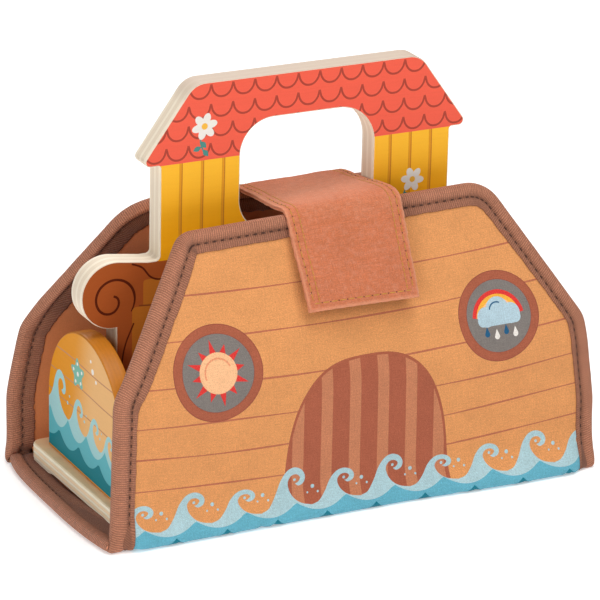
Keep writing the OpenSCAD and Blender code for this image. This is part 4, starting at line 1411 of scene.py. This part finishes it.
def strap_piece(name, q0, q1, caps):
    rows = int(round((q1 - q0) * 172 / 1.3)) + 1
    q = np.linspace(q0, q1, rows)
    w = np.concatenate([np.linspace(0.012, 0.13, 14), np.linspace(0.16, 0.84, 26), np.linspace(0.87, 0.988, 14)])
    p, n, across = strap_grid(q, w)
    m = len(w)
    edge = [(0.45, 0.18), (0.92, 0.52), (0.98, 0.92), (0.55, 1.28), (-0.50, 1.48), (0.50, 1.70), (0.92, 2.04), (0.92, 2.44), (0.42, 2.82)]
    ring_pts, ring_flat = [], []
    for i in range(rows):
        long = q[i] * 172.0
        wav = 0.22 * float(swell(long, 0.0, 5.5, 81)) + 0.18 * float(swell(long, 0.0, 2.6, 82))
        wav2 = 0.25 * float(swell(long, 9.0, 4.5, 83)) + 0.2 * float(swell(long, 5.0, 2.4, 84))
        r = [p[i, j] for j in range(m)]
        f = [(w[j] * 65.0, long, 0.0) for j in range(m)]
        for o, d in edge:
            k = wav if d < 1.48 else wav2
            r.append(p[i, -1] + across[i, -1] * (o + k) - n[i, -1] * d)
            f.append((65.0 + d, long, d))
        for j in range(m - 1, -1, -1):
            r.append(p[i, j] - n[i, j] * STRAP_T)
            f.append((w[j] * 65.0, long, STRAP_T))
        for o, d in edge[::-1]:
            k = wav if d < 1.48 else wav2
            r.append(p[i, 0] - across[i, 0] * (o + k) - n[i, 0] * d)
            f.append((-d, long, d))
        ring_pts.append(np.array(r))
        ring_flat.append(np.array(f))
    if caps[1]:
        # the free end: the two layers are turned in and close on each other
        for o, k in ((0.35, 0.90), (0.60, 0.62), (0.62, 0.30), (0.35, 0.08)):
            last = ring_pts[rows - 1]
            mid = (p[-1] - n[-1] * STRAP_T / 2)
            along = (p[-1] - p[-2])
            along /= np.linalg.norm(along, axis=-1)[:, None]
            ring = last.copy()
            for idx in range(len(ring)):
                j = idx if idx < m else (m - 1 if idx < m + len(edge) else (2 * m + len(edge) - 1 - idx if idx < 2 * m + len(edge) else 0))
                off = last[idx] - mid[j]
                nn = n[-1, j]
                hgt = off @ nn
                ring[idx] = last[idx] - nn * hgt * (1 - k) + along[j] * (o + 0.12 * math.sin(idx * 1.7))
            ring_pts.append(ring)
            ring_flat.append(ring_flat[rows - 1] + np.array([0, o, 0]))
    ring = len(ring_pts[0])
    v = np.concatenate(ring_pts)
    faces = tube_faces(len(ring_pts), ring)
    extra_v, extra_f = [], []
    for which in (0, 1):
        base = len(v) + sum(len(e) for e in extra_v)
        src = ring_pts[0] if which == 0 else ring_pts[-1]
        extra_v.append(src)
        extra_f.append(ring_flat[0] if which == 0 else ring_flat[-1])
        # a strip of quads between the two faces closes the end
        lid = []
        top = [base + j for j in range(m)]
        low = [base + m + len(edge) + (m - 1 - j) for j in range(m)]
        for j in range(m - 1):
            lid.append((top[j], top[j + 1], low[j + 1], low[j]))
        right = [base + m + k for k in range(len(edge))]
        left = [base + 2 * m + len(edge) + k for k in range(len(edge))]
        lid.append(tuple([top[-1]] + right + [low[-1]]))
        lid.append(tuple([low[0]] + left + [top[0]]))
        faces += [f[::-1] for f in lid] if which == 0 else lid
    v = np.concatenate([v] + extra_v)
    flat = np.concatenate(ring_flat + extra_f)
    faces = [f[::-1] for f in faces]
    return piece(name, v, faces, STRAP, None, flat=flat, ride=False)


REAR_BLEND = ("back_panel", "strap", (0.0024, 0.0350, 0.1590), (0.0024, 0.0262, 0.1660))
TIP_BLEND = ("strap", "strap_tip", (0.0024, -0.0316, 0.1664), (0.0024, -0.0394, 0.1591))
MIDDLE = 0.48

rear = strap_piece("strap_rear", 0.0, MIDDLE, (True, False))
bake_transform(rear)
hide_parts("strap_anchor")
tip = strap_piece("strap_front", MIDDLE, 1.0, (False, True))
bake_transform(tip)
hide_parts("strap_span", "strap_tail")


ROW_OUT, ROW_IN, ROW_END = 2.9, 6.4, 3.6


def strap_seams():
    """Two rows along each edge and one across the free end: ochre thread, with dark brown stubs between the stitches of
    the outer rows as painted shade in the needle's holes.
    """
    def row(name, q, w, mat, length, thick):
        p, nn, _ = strap_grid(q, np.array([w]))
        a, _, _ = strap_grid(np.minimum(q + 0.004, 1.0), np.array([w]))
        b, _, _ = strap_grid(np.maximum(q - 0.004, 0.0), np.array([w]))
        up = nn[:, 0]
        ob = threads(name, p[:, 0] + up * 0.10, (a - b)[:, 0], up, mat, None, length=length, thick=thick, rise=0.2, sink=0.05, ride=False)
        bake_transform(ob)
    last = 1 - ROW_END / 172.0
    for part, q0, q1, blend in (("rear", 0.035, MIDDLE - 0.006, REAR_BLEND), ("front", MIDDLE + 0.006, last, TIP_BLEND)):
        for k, w in enumerate((ROW_OUT / 65, ROW_IN / 65, 1 - ROW_IN / 65, 1 - ROW_OUT / 65)):
            pitch = 3.0 if k in (1, 2) else 4.9
            q = np.arange(q0 + pitch / 344.0, q1, pitch / 172.0)
            name = "strap_seam_%s_%d" % (part, k + 1)
            row(name, q, w, THREAD_OCHRE, pitch - (0.2 if k in (1, 2) else 0.9), 0.26)
            if k in (0, 3):
                # dark brown stubs between the outer rows' stitches: painted shade in the needle's holes
                row(name + "_holes", q[:-1] + pitch / 344.0, w, THREAD, 0.8, 0.24)
    # the row across the free end has the same painted shade in its needle holes
    for name, start, mat, length in (("strap_seam_end", 5.2, THREAD_OCHRE, 4.0), ("strap_seam_end_holes", 7.65, THREAD, 0.8)):
        w = np.arange(start, 61.0, 4.9) / 65.0
        p, nn, ac = strap_grid(np.array([last]), w)
        ob = threads(name, p[0] + nn[0] * 0.10, ac[0], nn[0], mat, None, length=length, thick=0.28, rise=0.2, sink=0.05, ride=False)
        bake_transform(ob)


strap_seams()


def patches():
    """Loop tape sewn on the front panel, and hook tape under the strap's free end."""
    x = np.linspace(-22.0, 26.8, 40)
    s = np.linspace(up_cloth(121.0), up_cloth(147.0), 24)
    X, S = np.meshgrid(x, s)
    edge = np.minimum(np.minimum(X - x[0], x[-1] - X), np.minimum(S - s[0], s[-1] - S))
    high = 0.62 + 0.55 * smooth(edge / 1.2) + 0.10 * swell(X, S, 2.3, 91)
    top = on_panel(-1, X, S, high).reshape(-1, 3)
    low = on_panel(-1, X, S, 0.1).reshape(-1, 3)
    w, h, n = len(x), len(s), len(top)
    faces = []
    for j in range(h - 1):
        for i in range(w - 1):
            a = j * w + i
            faces.append((a, a + 1, a + w + 1, a + w))
            faces.append((n + a, n + a + w, n + a + w + 1, n + a + 1))
    ring = list(range(w)) + [j * w + w - 1 for j in range(1, h)] + [(h - 1) * w + i for i in range(w - 2, -1, -1)] + [j * w for j in range(h - 2, 0, -1)]
    for a, b in zip(ring, ring[1:] + ring[:1]):
        faces.append((b, a, n + a, n + b))
    ob = piece("loop_tape", np.concatenate([top, low]), faces, NAP_LOOP, "front_panel")
    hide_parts("loop_patch")

    q = np.linspace(1 - 44.0 / 172.0, 1 - 9.0 / 172.0, 26)
    w_ = np.linspace(7.5 / 65, 56.5 / 65, 40)
    p, nn, _ = strap_grid(q, w_)
    Q, W = np.meshgrid(q * 172.0, w_ * 65.0, indexing="ij")
    edge = np.minimum(np.minimum(Q - Q.min(), Q.max() - Q), np.minimum(W - W.min(), W.max() - W))
    deep = STRAP_T + 0.35 + 0.45 * smooth(edge / 1.2) + 0.08 * swell(Q, W, 1.8, 92)
    low = (p - nn * deep[..., None]).reshape(-1, 3)
    top = (p - nn * (STRAP_T - 0.1)).reshape(-1, 3)
    h, w, n = len(q), len(w_), len(low)
    faces = []
    for j in range(h - 1):
        for i in range(w - 1):
            a = j * w + i
            faces.append((a, a + 1, a + w + 1, a + w))
            faces.append((n + a, n + a + w, n + a + w + 1, n + a + 1))
    ring = list(range(w)) + [j * w + w - 1 for j in range(1, h)] + [(h - 1) * w + i for i in range(w - 2, -1, -1)] + [j * w for j in range(h - 2, 0, -1)]
    for a, b in zip(ring, ring[1:] + ring[:1]):
        faces.append((b, a, n + a, n + b))
    ob = piece("hook_tape", np.concatenate([low, top]), faces, NAP_HOOK, "strap_tip")
    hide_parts("hook_patch")


patches()

# ------------------------------------------------------------------ floor, light, camera
floor_mat = Mat("floor")
floor_mat.base(floor_mat.tint([0.90, 0.90, 0.90, 1.0], floor_mat.noise(floor_mat.object(), 3.0, 2.0), 0.005))
floor_mat.set(Roughness=0.95, Specular_IOR_Level=0.1, Emission_Color=(1.0, 1.0, 1.0, 1.0), Emission_Strength=0.34)
me = bpy.data.meshes.new("floor")
me.from_pydata([(-9, -9, 0), (9, -9, 0), (9, 9, 0), (-9, 9, 0)], [], [(0, 1, 2, 3)])
me.materials.append(floor_mat.m)
floor = bpy.data.objects.new("floor", me)
bpy.context.scene.collection.objects.link(floor)

scene = bpy.context.scene
world = bpy.data.worlds.new("studio")
scene.world = world
world.use_nodes = True
bg = world.node_tree.nodes["Background"]
bg.inputs[0].default_value = (1.0, 1.0, 1.0, 1.0)
bg.inputs[1].default_value = 0.08


def lamp(name, place, aim, size, watts, colour=(1, 1, 1)):
    data = bpy.data.lights.new(name, "AREA")
    data.shape = "DISK"
    data.size = size
    data.energy = watts
    data.color = colour
    ob = bpy.data.objects.new(name, data)
    ob.location = place
    ob.rotation_euler = (Vector(aim) - Vector(place)).to_track_quat("-Z", "Y").to_euler()
    scene.collection.objects.link(ob)


lamp("key", (0.75, -1.15, 1.35), (0, 0, 0.08), 0.6, 7.2, (1.0, 0.985, 0.965))
lamp("fill", (-1.2, -0.95, 0.72), (0, 0, 0.09), 0.9, 9.8)
lamp("top", (0.1, -0.05, 2.0), (0, 0.0, 0.1), 1.1, 17.5)
lamp("high", (0.05, -0.66, 1.75), (0, 0, 0.12), 0.5, 4.7, (1.0, 0.985, 0.96))
lamp("back", (0.45, 1.5, 1.3), (0.35, 0.7, 0.0), 0.9, 13.0)

# camera at the photograph's place: its turn, height and roll, with a long lens
az, el, roll = math.radians(-27.17), math.radians(20.75), math.radians(1.30)
back = Vector((math.sin(az) * math.cos(el), -math.cos(az) * math.cos(el), math.sin(el)))
right = Vector((math.cos(az), math.sin(az), 0))
up = right.cross(-back)
cx = math.cos(roll) * right + math.sin(roll) * up
cy = -math.sin(roll) * right + math.cos(roll) * up
cam = bpy.data.cameras.new("camera")
cam.sensor_fit = "HORIZONTAL"
cam.sensor_width = 36.0
cam.lens = 3647.1 / 600.0 * 36.0
cam.clip_end = 50.0
cam_ob = bpy.data.objects.new("camera", cam)
place = Vector((-0.8685, -1.6849, 0.8166))
rot = Matrix((cx, cy, back)).transposed().to_4x4()
cam_ob.matrix_world = Matrix.Translation(place) @ rot
scene.collection.objects.link(cam_ob)
scene.camera = cam_ob
scene.view_settings.view_transform = "Standard"
scene.view_settings.look = "None"
